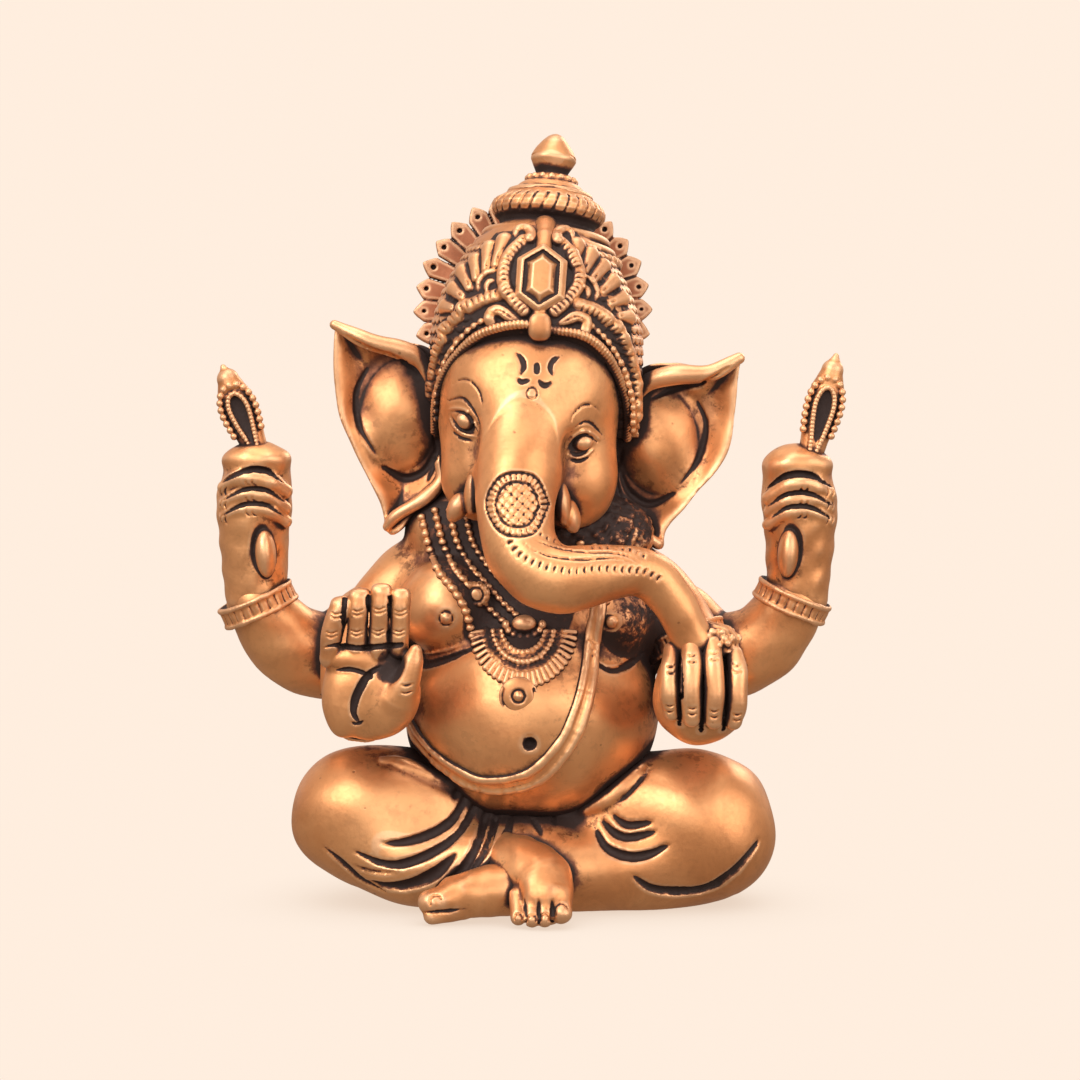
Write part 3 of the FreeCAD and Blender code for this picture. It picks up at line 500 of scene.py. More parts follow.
def foot(centre_right):
    """The foot that stands at the centre front, or the one that lies on its side."""
    if centre_right:
        clay = Clay((-19, -60, -1), (22, -16, 32), 0.38)
        tube(clay, [(-8, -27, 14, 9.2), (-2, -35, 14.2, 9.0), (3.8, -41.5, 11.8, 9.0), (5.4, -46, 7.6, 8.0)],
             0, 1.0)
        toes = [((-2.4, -47, 8.5), (-2.2, -51.5, 2.9), 2.5, 2.2),
                ((1.4, -48, 9), (1.6, -53.4, 2.9), 2.6, 2.3),
                ((5.3, -48, 9.5), (5.4, -54, 3.0), 2.6, 2.4),
                ((9.8, -46.5, 10), (9.8, -52.8, 4.2), 3.3, 3.0)]
        nails = [(-2.2, 3.2, 1.2), (1.6, 3.2, 1.35), (5.4, 3.6, 1.4), (9.8, 5.4, 1.9)]
    else:
        clay = Clay((-36, -58, -1), (2, -26, 18), 0.38)
        tube(clay, [(-3, -38, 9, 8.0), (-12, -41, 8.2, 7.3), (-20, -43, 7.0, 6.0)], 0, 1.0)
        toes = [((-19, -44.5, 8.2), (-26.6, -47, 6.2), 4.6, 3.9),
                ((-18, -45, 3.6), (-26.8, -48, 2.6), 2.8, 2.3)]
        nails = [(-25.4, 7.2, 1.7)]
    for a, b, ra, rb in toes:
        clay.add(rod(a, b, ra, rb), 0.9)
    for x, z, r in nails:
        stroke(clay, arc(x, z, r, -30, 210), 0.32, 0.4, ends="")
    if centre_right:
        for x in (-0.5, 3.4, 7.3):
            stroke(clay, [(x, 8.5), (x + 0.1, 5), (x + 0.2, 1.5)], 0.5, 0.8, ends="a")
    else:
        stroke(clay, [(-29, 3.9), (-24, 4.3), (-17, 4.6)], 0.5, 0.7)
    clay.keep(lambda x, y, z: -z)
    return work(clay, 13, 7, 0.15)


def arm(stations, low, high, step=0.6):
    clay = Clay(low, high, step)
    tube(clay, stations, 0, 1.4)
    return work(clay, 14, 12, 0.3)


def ring_piece(centre, way, radius, wide, thick, count, nick, bulge=0.0):
    """A bangle: a flat band with a rounded outer face and nicks cut across it."""
    centre, way = np.array(centre, float), np.array(way, float) / np.linalg.norm(way)
    reach = radius + thick + 3
    clay = Clay(centre - reach, centre + reach, 0.34)

    def band(x, y, z):
        p = (x - centre[0], y - centre[1], z - centre[2])
        t = p[0] * way[0] + p[1] * way[1] + p[2] * way[2]
        r = np.sqrt(np.maximum(p[0] ** 2 + p[1] ** 2 + p[2] ** 2 - t ** 2, 0))
        q = np.maximum(np.abs(r - radius - thick / 2 + 1.0) - thick / 2 - 1.0 + 0.8, 0)
        s = np.maximum(np.abs(t) - wide / 2 + 0.8, 0)
        return np.sqrt(q ** 2 + s ** 2) - 0.8
    clay.add((centre - reach, centre + reach, band))
    side = np.cross(way, (0.3, 0.2, 1.0))
    side /= np.linalg.norm(side)
    other = np.cross(way, side)
    for turn in np.linspace(0, 2 * math.pi, count, endpoint=False):
        out = side * math.cos(turn) + other * math.sin(turn)
        p = centre + out * (radius + thick)
        clay.cut(rod(p - way * wide * 0.34, p + way * wide * 0.34, nick))
    for lift in (-0.5, 0.5):
        edge = centre + way * wide * lift * 0.96
        loop = [edge + (side * math.cos(t) + other * math.sin(t)) * (radius + thick - 0.4)
                for t in np.linspace(0, 2 * math.pi, 60)]
        string(clay.add, loop, 0.75 + bulge, 0.3)
    return work(clay, 15, 5, 0.12)


def head():
    """Skull, cheeks, lip, trunk, eyes and the forehead mark."""
    clay = Clay((-30, -70, 74), (56, 14, 174), 0.36)
    clay.add(egg(HEAD, (25, 25, 29), LEAN))
    clay.add(boxy((1.0, -14, 150.6), (26.2, 24.9, 22.8), 2.6), 4)
    for x, y, z in ((-12.0, -23.5, 129), (13.5, -22, 126.5)):
        clay.add(egg((x, y, z), (13, 12.5, 16), LEAN), 5)
    clay.add(ball((-1.5, -30, 116), 9), 4)
    trunk = [(0.3, -26, 149, 16), (-0.8, -33.5, 139, 14.0), (-2.2, -41, 128, 12.3),
             (-2.9, -46.5, 117.5, 11.0),
             (-2.0, -50.5, 108.5, 10.4), (2.5, -53.5, 101.5, 10.0), (9, -55.3, 98.4, 9.6),
             (16, -55.3, 98.9, 8.9),
             (23, -54.2, 100.1, 8.0), (30, -52.7, 100.4, 7.0), (35.8, -51.2, 98, 6.6), (40.3, -50, 93, 6.3),
             (43.8, -49.3, 87, 6.0), (46.6, -48.8, 81, 5.8)]
    tube(clay, trunk, 8, 1.2)
    # the hollows beside the trunk's root
    clay.cut(egg((13.8, -39.5, 131.5), (3.0, 4, 6.5)), 4)
    clay.cut(egg((-16.2, -39.8, 137), (2.6, 3, 6)), 4)
    work(clay, 21, 15, 0.2)
    for x, z, tilt in ((-17.7, 142.2, 33), (16.2, 135.9, -8)):
        (p,), (n,) = clay.skin([(x, 0, z)])
        turn = tipped(tilt)
        clay.cut(egg(p + n * 1.3, (4.6, 2.2, 2.9), turn), 0.8)
        clay.add(egg(p - n * 0.9, (3.0, 2.1, 2.4), turn), 0.2)
    lids = [[(-22.8, 145.6), (-20.2, 146.0), (-17.2, 145.2), (-14.8, 141.8), (-13.2, 139.0)],
            [(11.2, 134.0), (13.2, 137.8), (16.5, 139.4), (19.4, 138.3), (21.6, 136.4)]]
    strokes(clay, lids, 0.75, 0.5, raised=True)
    strokes(clay, [[(-22.4, 144.0), (-20.8, 140.8), (-18.0, 138.6), (-13.9, 137.7)],
                   [(11.4, 133.2), (13.2, 131.9), (16.2, 132.0), (19.6, 134.4)]], 0.6, 0.4, raised=True)
    strokes(clay, [[(-21.6, 144.8), (-20.2, 145.0), (-16.9, 144.2), (-14.9, 141.2), (-13.6, 138.9)],
                   [(12.0, 134.6), (14.0, 137.3), (16.5, 138.4), (18.7, 137.4), (20.8, 135.9)],
                   [(-21.8, 144.2), (-20.2, 141.4), (-17.9, 139.5), (-14.4, 138.8)],
                   [(12.2, 133.8), (13.6, 132.9), (15.8, 133.0), (18.6, 134.9)]], 0.42, 0.45)
    strokes(clay, [[(-23.0, 147.9), (-19.1, 148.9), (-16.7, 147.6), (-14.0, 143.4), (-12.8, 140.4)],
                   [(13.0, 139.8), (15.9, 141.7), (17.6, 142.0), (19.4, 141), (22.2, 137.8)],
                   [(-21.4, 139.4), (-18.6, 137.4), (-15.0, 136.6)],
                   [(12.4, 131.2), (15.2, 130.9), (18.4, 132.2)]],
            0.5, 0.5)
    strokes(clay, [[(-21.5, 152.5), (-19.1, 153.9), (-16.6, 153.9), (-14.2, 151.9), (-12.8, 149.2),
                    (-12.3, 145.4)],
                   [(12.4, 141.0), (13.2, 143.8), (15.4, 146.2), (17.6, 147.0), (19.8, 146.2),
                    (21.2, 144.4)]],
            0.4, 0.32)
    # the forehead mark
    strokes(clay, [[(-2.9, 161.7), (-1.2, 159.6), (-0.7, 157.6), (-1.7, 155.0)],
                   [(9.5, 160.5), (7.6, 159.3), (6.8, 157.3), (7.6, 154.9)]], 0.9, 0.6)
    strokes(clay, [[(-2.4, 154.5), (-1.3, 153.2), (1.2, 154.0)], [(3.3, 153.9), (5.2, 152.2), (7.3, 153.2)]],
            0.9, 0.6)
    stroke(clay, [(3.0, 158.8), (3.0, 156.1)], 0.9, 0.6, ends="a")
    stroke(clay, arc(1.7, 150.1, 1.6, 0, 360), 0.46, 0.4, ends="")
    trunk_ornament(clay)
    return clay


def trunk_ornament(clay):
    """The round medallion with its lattice, and the chased band along the trunk."""
    x, z = -2.3, 119.2
    stroke(clay, arc(x, z, 9.0, 0, 360), 0.42, 0.5, ends="")
    for turn in np.radians(np.arange(0, 360, 11.6)):
        way = np.array([math.cos(turn), math.sin(turn)])
        stroke(clay, [np.array([x, z]) + way * 6.6, np.array([x, z]) + way * 8.6], 0.26, 0.36, ends="")
    stroke(clay, arc(x, z, 6.3, 0, 360), 0.42, 0.5, ends="")
    for angle in (50, -40):
        way = np.array([math.cos(math.radians(angle)), math.sin(math.radians(angle))])
        side = np.array([-way[1], way[0]])
        for k in np.arange(-2.5, 2.6, 1):
            half = math.sqrt(max(6.0 ** 2 - (k * 2.05) ** 2, 0))
            centre = np.array([x, z]) + side * k * 2.05
            if half > 1:
                stroke(clay, [centre - way * half, centre, centre + way * half], 0.26, 0.28, ends="")
    strokes(clay, [[(0.6, 110.9), (4.2, 108.8), (10.4, 106.9), (17.7, 106.1), (22.9, 106.0), (28.1, 104.9),
                    (32.8, 102.4)],
                   [(-1.0, 109.4), (2.1, 106.8), (7.3, 105.0), (15.1, 104.2), (20.8, 104.5), (26.0, 104.4),
                    (31.5, 102.4)]],
            0.42, 0.42)
    low = [(-3.8, 107.9), (-2.3, 106.0), (0.8, 103.9), (5.5, 102.2), (12.6, 101.0), (20.4, 101.6),
           (27.7, 101.2),
           (33.5, 100.2), (37.6, 98.0)]
    row = even(low, 2.15)
    way = np.degrees(np.arctan2(np.gradient(row[:, 1]), np.gradient(row[:, 0])))
    for (px, pz), lean in zip(row, way):
        stroke(clay, arc(px, pz, 1.25, lean + 110, lean + 235), 0.45, 0.42)
    top = [(3.2, 111.9), (6.3, 109.9), (10.5, 108.4), (17.2, 107.7), (24.1, 107.5), (29.3, 106.6),
           (33.4, 104.6)]
    row = even(top, 2.1)
    way = np.degrees(np.arctan2(np.gradient(row[:, 1]), np.gradient(row[:, 0])))
    for (px, pz), lean in zip(row, way):
        stroke(clay, arc(px, pz, 0.9, lean + 120, lean + 240), 0.4, 0.36)


def tusk(side):
    if side < 0:
        clay = Clay((-26, -48, 108), (-8, -24, 130), 0.36)
        clay.add(egg((-15.2, -36.5, 122), (2.6, 3.4, 6.2), tipped(6)))
        clay.add(egg((-19.6, -34.5, 117.6), (3.0, 3.6, 4.8), tipped(28)), 0.4)
    else:
        clay = Clay((4, -48, 104), (20, -24, 130), 0.36)
        clay.add(egg((10.2, -36.5, 119), (2.6, 3.4, 6.6), tipped(-8)))
        clay.add(egg((12.6, -34.5, 115.4), (2.8, 3.6, 5.2), tipped(-14)), 0.4)
    return work(clay, 22, 6, 0.15)


def outline_distance(points):
    """Signed distance in the plane across Y to a closed curve through the points."""
    loop = spline(list(points) + [points[0]], 90)[:-1]

    def distance(x, z):
        best, inside = None, None
        for a, b in zip(loop, np.roll(loop, -1, axis=0)):
            e, wx, wz = b - a, x - a[0], z - a[1]
            t = np.clip((wx * e[0] + wz * e[1]) / max(e @ e, 1e-9), 0, 1)
            gap = (wx - e[0] * t) ** 2 + (wz - e[1] * t) ** 2
            crossing = ((a[1] > z) != (b[1] > z)) & (x < (b[0] - a[0]) * (z - a[1]) / (b[1] - a[1] + 1e-12)
                                                     + a[0])
            best = gap if best is None else np.minimum(best, gap)
            inside = crossing if inside is None else inside ^ crossing
        return np.where(inside, -1, 1) * np.sqrt(best)
    return distance


def ear(side):
    """A dished leaf with a thick rolled upper rim and a full mound inside."""
    if side < 0:
        clay = Clay((-61, -24, 104), (-16, 12, 176), 0.46)
        edge = [(-56.6, 171.6), (-47, 168.2), (-37, 166), (-28, 163), (-22, 150), (-20, 136), (-22, 126),
                (-31, 117.6), (-40.2, 108.6), (-43.8, 119.2), (-51.2, 133.9), (-55.8, 146.2), (-57, 158.5)]
        mound, turn = (-37.6, 144, 12.2, 17.0), -8
        rim = [(-56.4, -13, 170.6, 1.7), (-47, -13.5, 166, 2.5), (-38, -12.5, 163.6, 2.9),
               (-31, -11, 160, 2.6),
               (-27.2, -10, 152.5, 1.9)]
        lobe = [(-26, -10, 131, 1.5), (-25.5, -10, 124.5, 2.2), (-31, -11, 119, 2.2),
                (-38.5, -11, 114.5, 2.0),
                (-41.5, -10, 111, 1.2)]
    else:
        clay = Clay((16, -24, 100), (67, 12, 168), 0.46)
        edge = [(63.2, 162.4), (54.7, 158.6), (43.6, 159.4), (34, 158), (24, 148), (21, 136), (20.5, 126),
                (25, 113.5), (38.6, 104.6), (41.5, 110.4), (49.9, 120.4), (57.3, 128.9), (60.6, 137.3),
                (62.1, 151.1)]
        mound, turn = (38.8, 136.6, 12.4, 16.4), 10
        rim = [(62.4, -13, 160.8, 1.7), (54, -13.5, 156.4, 2.5), (44, -13, 156, 2.9),
               (35.6, -11.5, 153.6, 2.6),
               (31, -10, 148.4, 1.8)]
        lobe = [(26.8, -9, 143, 1.3), (23.4, -10, 127, 1.8), (25.5, -11, 116.5, 2.0),
                (31.5, -11, 110.5, 2.0),
                (38.6, -10, 106, 1.5)]
    flat = outline_distance(edge)
    cx, cz, rx, rz = mound
    tilt = math.radians(turn)

    def blade(x, y, z):
        out = flat(x, z)
        along = (x - cx) * math.cos(tilt) + (z - cz) * math.sin(tilt)
        up = -(x - cx) * math.sin(tilt) + (z - cz) * math.cos(tilt)
        swell = np.sqrt((along / rx) ** 2 + (up / rz) ** 2)
        hill = 5.6 * np.clip(1 - swell ** 2.2, 0, 1) ** 1.1
        ditch = 0.9 * np.exp(-((swell - 1.15) / 0.16) ** 2) * (0.35 + 0.65 * np.clip(up / rz, -1, 1) ** 2)
        edge_lift = 4.5 * np.exp(-(np.minimum(out, 0) / 5.5) ** 2)
        front = -5.0 - hill + ditch - edge_lift
        back = 2.0 - 2.0 * np.exp(-(np.minimum(out, 0) / 5.0) ** 2) + 0.35 * np.maximum(-5.0 - front, 0) * -1
        return np.maximum(np.maximum(front - y, y - back) * 0.8, out)
    clay.add((*clay.span(), blade))
    tube(clay, rim, 1.6, 1.0)
    tube(clay, lobe, 1.2, 1.0)
    work(clay, 33, 12, 0.2)
    folds = {-1: [([(-53, 167.4), (-46, 163.4), (-38.5, 161.0), (-32.5, 157.6)], 1.0, 0.7),
                  ([(-47.5, 158.0), (-50.6, 150.5), (-49.6, 141.0), (-44.4, 132.0)], 0.7, 0.5),
                  ([(-43, 129.0), (-36.5, 125.4), (-30.5, 127.6), (-27.4, 133.4)], 1.0, 0.8),
                  ([(-27.6, 139.0), (-26.8, 133.0), (-29.4, 124.6)], 0.9, 0.8)],
             1: [([(59.4, 158.2), (52, 153.6), (44, 152.0), (37.0, 149.0)], 1.0, 0.7),
                 ([(50.6, 148.4), (53.2, 141.0), (51.0, 131.4), (45.4, 123.4)], 0.7, 0.5),
                 ([(44, 121.0), (36.5, 117.6), (30.4, 121.4), (27.6, 128.0)], 1.0, 0.8),
                 ([(28.4, 134.0), (26.4, 126.0), (28.6, 117.4)], 0.9, 0.8)]}[side]
    for path, radius, depth in folds:
        stroke(clay, path, radius * 0.8, depth * 0.7, blend=0.6, dirty=False)
        stroke(clay, path, radius * 0.45, 0.2)
    return clay


def brow_gap(x, y, z):
    """Distance behind the crown's brow plane."""
    return 0.045 * x + 0.74 * (y + 37.4) + 0.67 * (z - 168.4)


def brow_point(x, z):
    return np.array([x, -37.4 - (0.67 * (z - 168.4) + 0.045 * x) / 0.74, z])


BROW = [(-27.2, 139.5), (-26.6, 147.6), (-24.6, 154.2), (-20.8, 160.2), (-13.2, 166.8), (-2.3, 169.6),
        (8.3, 168),
        (17.2, 166), (23.8, 160.0), (28.4, 150.4), (29.6, 143), (29.6, 136.5)]


def scales(x, y, z):
    """Overlapping scales on the crown's sides and back, as a height on its dome."""
    dx, dy, dz = x - CROWN[0], y - CROWN[1], z - CROWN[2]
    around = np.arctan2(dx, -dy)
    flat = np.sqrt(dx ** 2 + dy ** 2)
    up = np.where(dz > 0, np.arctan2(dz * 0.86, flat) * 36, dz)
    v = up / 3.1
    row = np.floor(v)
    u = around * (31.5 / 3.9) + 0.5 * (row % 2)
    u = u - np.floor(u) - 0.5
    w = v - row
    rise = np.sqrt(u ** 2 * 1.1 + (w - 1.0) ** 2 * 0.8)
    lobe = np.clip((0.62 - rise) / 0.12, 0, 1) * (0.22 + 0.22 * (1 - w))
    seam = 0.34 * np.exp(-((rise - 0.64) / 0.08) ** 2)
    side = np.clip((np.abs(around) - 0.62) / 0.12, 0, 1) * np.clip((33 - up) / 2, 0, 1)
    return ((lobe - seam) * side).astype(np.float32)


def crown():
    """The scaled dome, with its bands, petals, ropes and scroll leaves in front."""
    clay = Clay((-34, -44, 134), (40, 17, 205), 0.38)

    def dome(x, y, z):
        dx, dy, dz = x - CROWN[0], y - CROWN[1], z - CROWN[2]
        rz = np.where(dz > 0, 36.5, 105)
        rx = 31.4 - 2.6 * np.clip(dz / 24, 0, 1)
        near = np.sqrt((dx / rx) ** 2 + (dy / 29.6) ** 2 + (dz / rz) ** 2)
        slope = np.sqrt((dx / rx ** 2) ** 2 + (dy / 29.6 ** 2) ** 2 + (dz / rz ** 2) ** 2)
        return near * (near - 1) / np.maximum(slope, 1e-4)

    def front(x, y, z):
        around = np.abs(np.arctan2(x - CROWN[0], -(y - CROWN[1])))
        return np.maximum((around - np.where(z < 172, 1.1, 0.8)) * 25, z - 197)
    clay.add((*clay.span(), dome))
    clay.keep(lambda x, y, z: -brow_gap(x, y, z) * 0.98)
    clay.keep(lambda x, y, z: 137.5 - z)
    clay.swell(*clay.span(), scales)
    clay.stain((*clay.span(), front))
    # feathered bands sweeping up from the ears to the jewel
    bands = [[(-28.6, 147), (-27.4, 157.5), (-24.6, 166.0), (-20.0, 172.3), (-14.2, 176.0), (-7.0, 178.2)],
             [(32.6, 144), (32.0, 154.2), (30.2, 161.0), (27.0, 167.6), (21.8, 172.8), (14.6, 175.4)]]
    for band in bands:
        stroke(clay, band, 2.7, 1.4, raised=True, ends="", blend=0.1)
        line = even(band, 1.75)
        way = np.gradient(line, axis=0)
        way /= np.linalg.norm(way, axis=1, keepdims=True)
        side = np.stack([-way[:, 1], way[:, 0]], axis=1)
        for p, a, b in zip(line[1:-1], way[1:-1], side[1:-1]):
            stroke(clay, [p - b * 0.6 - a * 0.2, p + b * 0.5, p + b * 2.0 + a * 0.4], 0.28, 0.32, ends="a")
    # a beaded row inside each, next to the rope
    inner = [[(-26.4, 143), (-26.0, 151), (-23.8, 158.5), (-19.8, 164.6), (-15.0, 169.2), (-10.8, 171.4)],
             [(31.0, 139.5), (30.4, 149), (27.4, 158), (23.0, 165.0), (18.6, 169.2)]]
    for path in inner:
        stroke(clay, path, 1.2, 0.8, raised=True, ends="b")
        beads(clay, path, 1.15, 2.3, 0.2)
    # fans of petals over the bands
    fans = [((-6.6, 194.6), (-8.8, 187.0)), ((-10.8, 192.0), (-11.6, 185.6)),
            ((-14.9, 189.0), (-14.2, 183.2)),
            ((-18.4, 185.2), (-16.4, 180.6)), ((-21.4, 180.8), (-18.4, 177.8)),
            ((-23.8, 175.8), (-21.4, 174.8)),
            ((14.8, 193.4), (13.4, 186.8)), ((18.8, 190.8), (16.6, 185.2)), ((22.4, 187.2), (19.2, 182.6)),
            ((25.4, 182.8), (21.8, 179.4)), ((27.9, 177.9), (24.0, 176.2)), ((29.8, 172.6), (26.8, 172.6))]
    for tip, root in fans:
        (points, normals), (tail,
                            tails) = clay.skin([(tip[0], 0, tip[1])]), clay.skin([(root[0], 0, root[1])])
        if len(points) and len(tail):
            clay.add(rod(points[0] - normals[0] * 1.0, tail[0] - tails[0] * 0.6, 2.75, 1.7), 0.05)
            middle = ((tip[0] + root[0]) / 2, (tip[1] + root[1]) / 2)
            stroke(clay, [middle, root], 0.32, 0.34)
    # two jointed ropes curling round the jewel
    curls = [[(-0.6, 173.4), (-3.6, 176.4), (-6.2, 180.9), (-6.3, 185.4), (-4.6, 190.0), (-0.8, 194.0)],
             [(8.0, 173.4), (11.4, 176.4), (14.7, 180.9), (14.9, 185.4), (13.0, 190.0), (9.9, 193.4)]]
    for path in curls:
        stroke(clay, path, 2.3, 1.7, raised=True, ends="")
        line = even(path, 1.55)
        way = np.gradient(line, axis=0)
        way /= np.linalg.norm(way, axis=1, keepdims=True)
        for p, a in zip(line, way):
            b = np.array([-a[1], a[0]])
            stroke(clay, [p - b * 1.6, p + a * 0.4, p + b * 1.6], 0.3, 0.4, ends="ab")
    for x, z, hand in ((-0.9, 195.6, 1), (10.9, 195.2, -1)):
        stroke(clay, arc(x, z, 2.3, 90 - 120 * hand, 90 + 100 * hand), 1.75, 1.5, raised=True, ends="b")
    # scroll leaves beside the drop, and the eyelets above the bands
    for path in ([(-1.4, 170.0), (-4.7, 171.8), (-7.6, 173.6), (-10.0, 172.8), (-9.9, 170.2)],
                 [(8.7, 169.6), (11.6, 170.8), (14.2, 171.9), (16.9, 170.8), (16.6, 168.0)]):
        stroke(clay, path, 2.0, 1.6, raised=True, ends="a")
        stroke(clay, path[:4], 0.32, 0.32)
    for path in ([(-13.8, 179.3), (-13.4, 182.4), (-11.2, 184.6), (-8.0, 185.3)],
                 [(16.6, 184.0), (19.0, 181.8), (20.2, 178.8), (19.6, 176.6)],
                 [(-11.4, 179.0), (-10.8, 181.6), (-8.8, 182.2)],
                 [(16.0, 181.0), (17.4, 179.4), (17.2, 177.0)]):
        stroke(clay, path, 1.15, 1.0, raised=True, ends="ab")
    # the moulded neck under the ring
    for height, radius, fat in ((50.0, 21.6, 1.5), (52.8, 19.6, 1.6), (56.0, 17.4, 1.7)):
        hoop = turned([(radius * math.cos(t), 6 + radius * math.sin(t), height)
                       for t in np.linspace(0, 2 * math.pi, 90)])
        string(clay.add, hoop, fat, 0.5)
    for turn in np.linspace(0, 2 * math.pi, 44, endpoint=False):
        clay.add(ball(turned([(22.2 * math.sin(turn), 6 - 22.2 * math.cos(turn), 50.6)])[0], 1.25), 0.1)
    return clay


def crown_band():
    clay = Clay((-34, -44, 132), (36, -4, 176), 0.34)
    line = np.array([brow_point(x, z) for x, z in even(BROW, 1.0)])
    rope(clay, line[::3], 1.45, 1.15, 0.5, 0.3)
    return clay


def crown_jewel():
    """The framed six-sided stone on its stem, with the drop below it."""
    clay = Clay((-9, -48, 160), (18, -14, 204), 0.32)
    lean = np.array(Matrix.Rotation(math.radians(-19), 3, "X") @ Matrix.Rotation(math.radians(4), 3, "Y"))
    centre = np.array([4.2, -35.4, 182.6])

    def six(half, tall, low, high, bevel):
        def distance(x, y, z):
            p = [x - centre[0], y - centre[1], z - centre[2]]
            u, v, w = [lean[0][i] * p[0] + lean[1][i] * p[1] + lean[2][i] * p[2] for i in range(3)]
            edge = np.maximum(np.abs(u) - half, (np.abs(w) * 0.86 + np.abs(u) * 0.62) - tall)
            return np.maximum(np.maximum(v - high, low - v + np.maximum(edge + bevel, 0) * 0.9), edge)
        reach = tall + 6
        return centre - reach, centre + reach, distance
    clay.add(six(7.2, 9.5, -1.6, 6, 1.5))
    clay.cut(six(5.0, 7.3, -6, -0.7, 0))
    clay.stain(six(5.1, 7.4, -6, 4, 0), 0)
    clay.add(six(4.3, 6.6, -2.3, 4, 1.8))
    points, normals = lay(CLAYS["crown"], [(4.8, 189.4), (5.3, 195), (5.7, 200.5)], 0.8)
    wide = np.interp(np.linspace(0, 1, len(points)), [0, 0.4, 1], [2.9, 2.5, 3.8])
    line = points - normals * (wide - 1.4)[:, None]
    for a, b, ra, rb in zip(line, line[1:], wide, wide[1:]):
        clay.add(rod(a, b, ra, rb), 0.4)
    clay.add(rod((4.0, -35.9, 175.4), (3.8, -37.1, 171.5), 2.3, 2.1), 0.8)
    clay.add(boxy((3.8, -37.8, 168.9), (3.5, 2.9, 4.3), 2.6), 0.6)
    return clay


def spire_point(radius, height, turn=0.0):
    return (radius * math.sin(turn), 6 - radius * math.cos(turn), 58 + height)


def turned_form(profile, low, high):
    """A profile of (height, radius) turned about the spire's leaning axis."""
    axis = LEAN @ np.array([0, 0, 1.0])
    base = turned([(0, 6, 58)])[0]
    heights, radii = np.array(profile, float).T

    def distance(x, y, z):
        p = (x - base[0], y - base[1], z - base[2])
        t = p[0] * axis[0] + p[1] * axis[1] + p[2] * axis[2]
        r = np.sqrt(np.maximum(p[0] ** 2 + p[1] ** 2 + p[2] ** 2 - t ** 2, 0))
        inside = r - np.interp(t, heights, radii)
        return np.maximum(inside * 0.75, np.maximum(heights[0] - t, t - heights[-1]))
    return np.array(low), np.array(high), distance


def crown_ring():
    low, high = (-16, -22, 190), (30, 30, 216)
    clay = Clay(low, high, 0.36)
    clay.add(turned_form([(-2, 15.2), (0.5, 14.8), (1.5, 13.8), (3.0, 14.6), (4.2, 16.2), (5.6, 17.0),
                          (7.2, 17.0),
                          (9.0, 15.9), (10.2, 14.0), (11.0, 12.9), (11.4, 12.4)], low, high))
    for turn in np.linspace(0, 2 * math.pi, 30, endpoint=False):
        path = turned([spire_point(r, h, turn + 0.018 * h)
                       for h, r in ((4.0, 16.2), (5.6, 17.2), (7.4, 17.1), (9.0, 15.9), (9.9, 14.4))])
        string(clay.cut, path, 0.5)
        string(clay.stain, path, 0.5, -0.1)
    return work(clay, 42, 8, 0.15)


def crown_cone():
    low, high = (-12, -14, 202), (28, 28, 222)
    clay = Clay(low, high, 0.34)
    clay.add(turned_form([(10.4, 12.6), (11.4, 12.9), (12.3, 12.4), (12.8, 10.6), (14.4, 8.9), (15.0, 7.9),
                          (16.0, 7.4),
                          (17.0, 6.4), (17.6, 5.2)], low, high))
    for turn in np.linspace(0, 2 * math.pi, 16, endpoint=False):
        clay.add(ball(turned([spire_point(6.9, 15.9, turn)])[0], 1.15), 0.15)
        clay.cut(rod(*turned([spire_point(11.5, 12.9, turn + 0.2), spire_point(8.8, 14.9, turn + 0.2)]),
                     0.35))
    return clay


def crown_finial():
    low, high = (-4, -8, 208), (20, 20, 234)
    clay = Clay(low, high, 0.3)
    clay.add(turned_form([(16.6, 5.0), (17.6, 4.6), (18.4, 4.9), (20.4, 6.1), (21.8, 6.75), (22.6, 6.8),
                          (23.4, 6.4),
                          (25.6, 5.2), (27.6, 3.9), (29.0, 2.5), (29.7, 1.2), (30.0, 0.1)], low, high))
    hoop = turned([spire_point(7.0 - 0.5 * math.sin(t) ** 2, 22.5 + math.cos(t), t)
                   for t in np.linspace(0, 2 * math.pi, 70)])
    string(clay.cut, hoop, 0.32)
    return work(clay, 43, 6, 0.15)


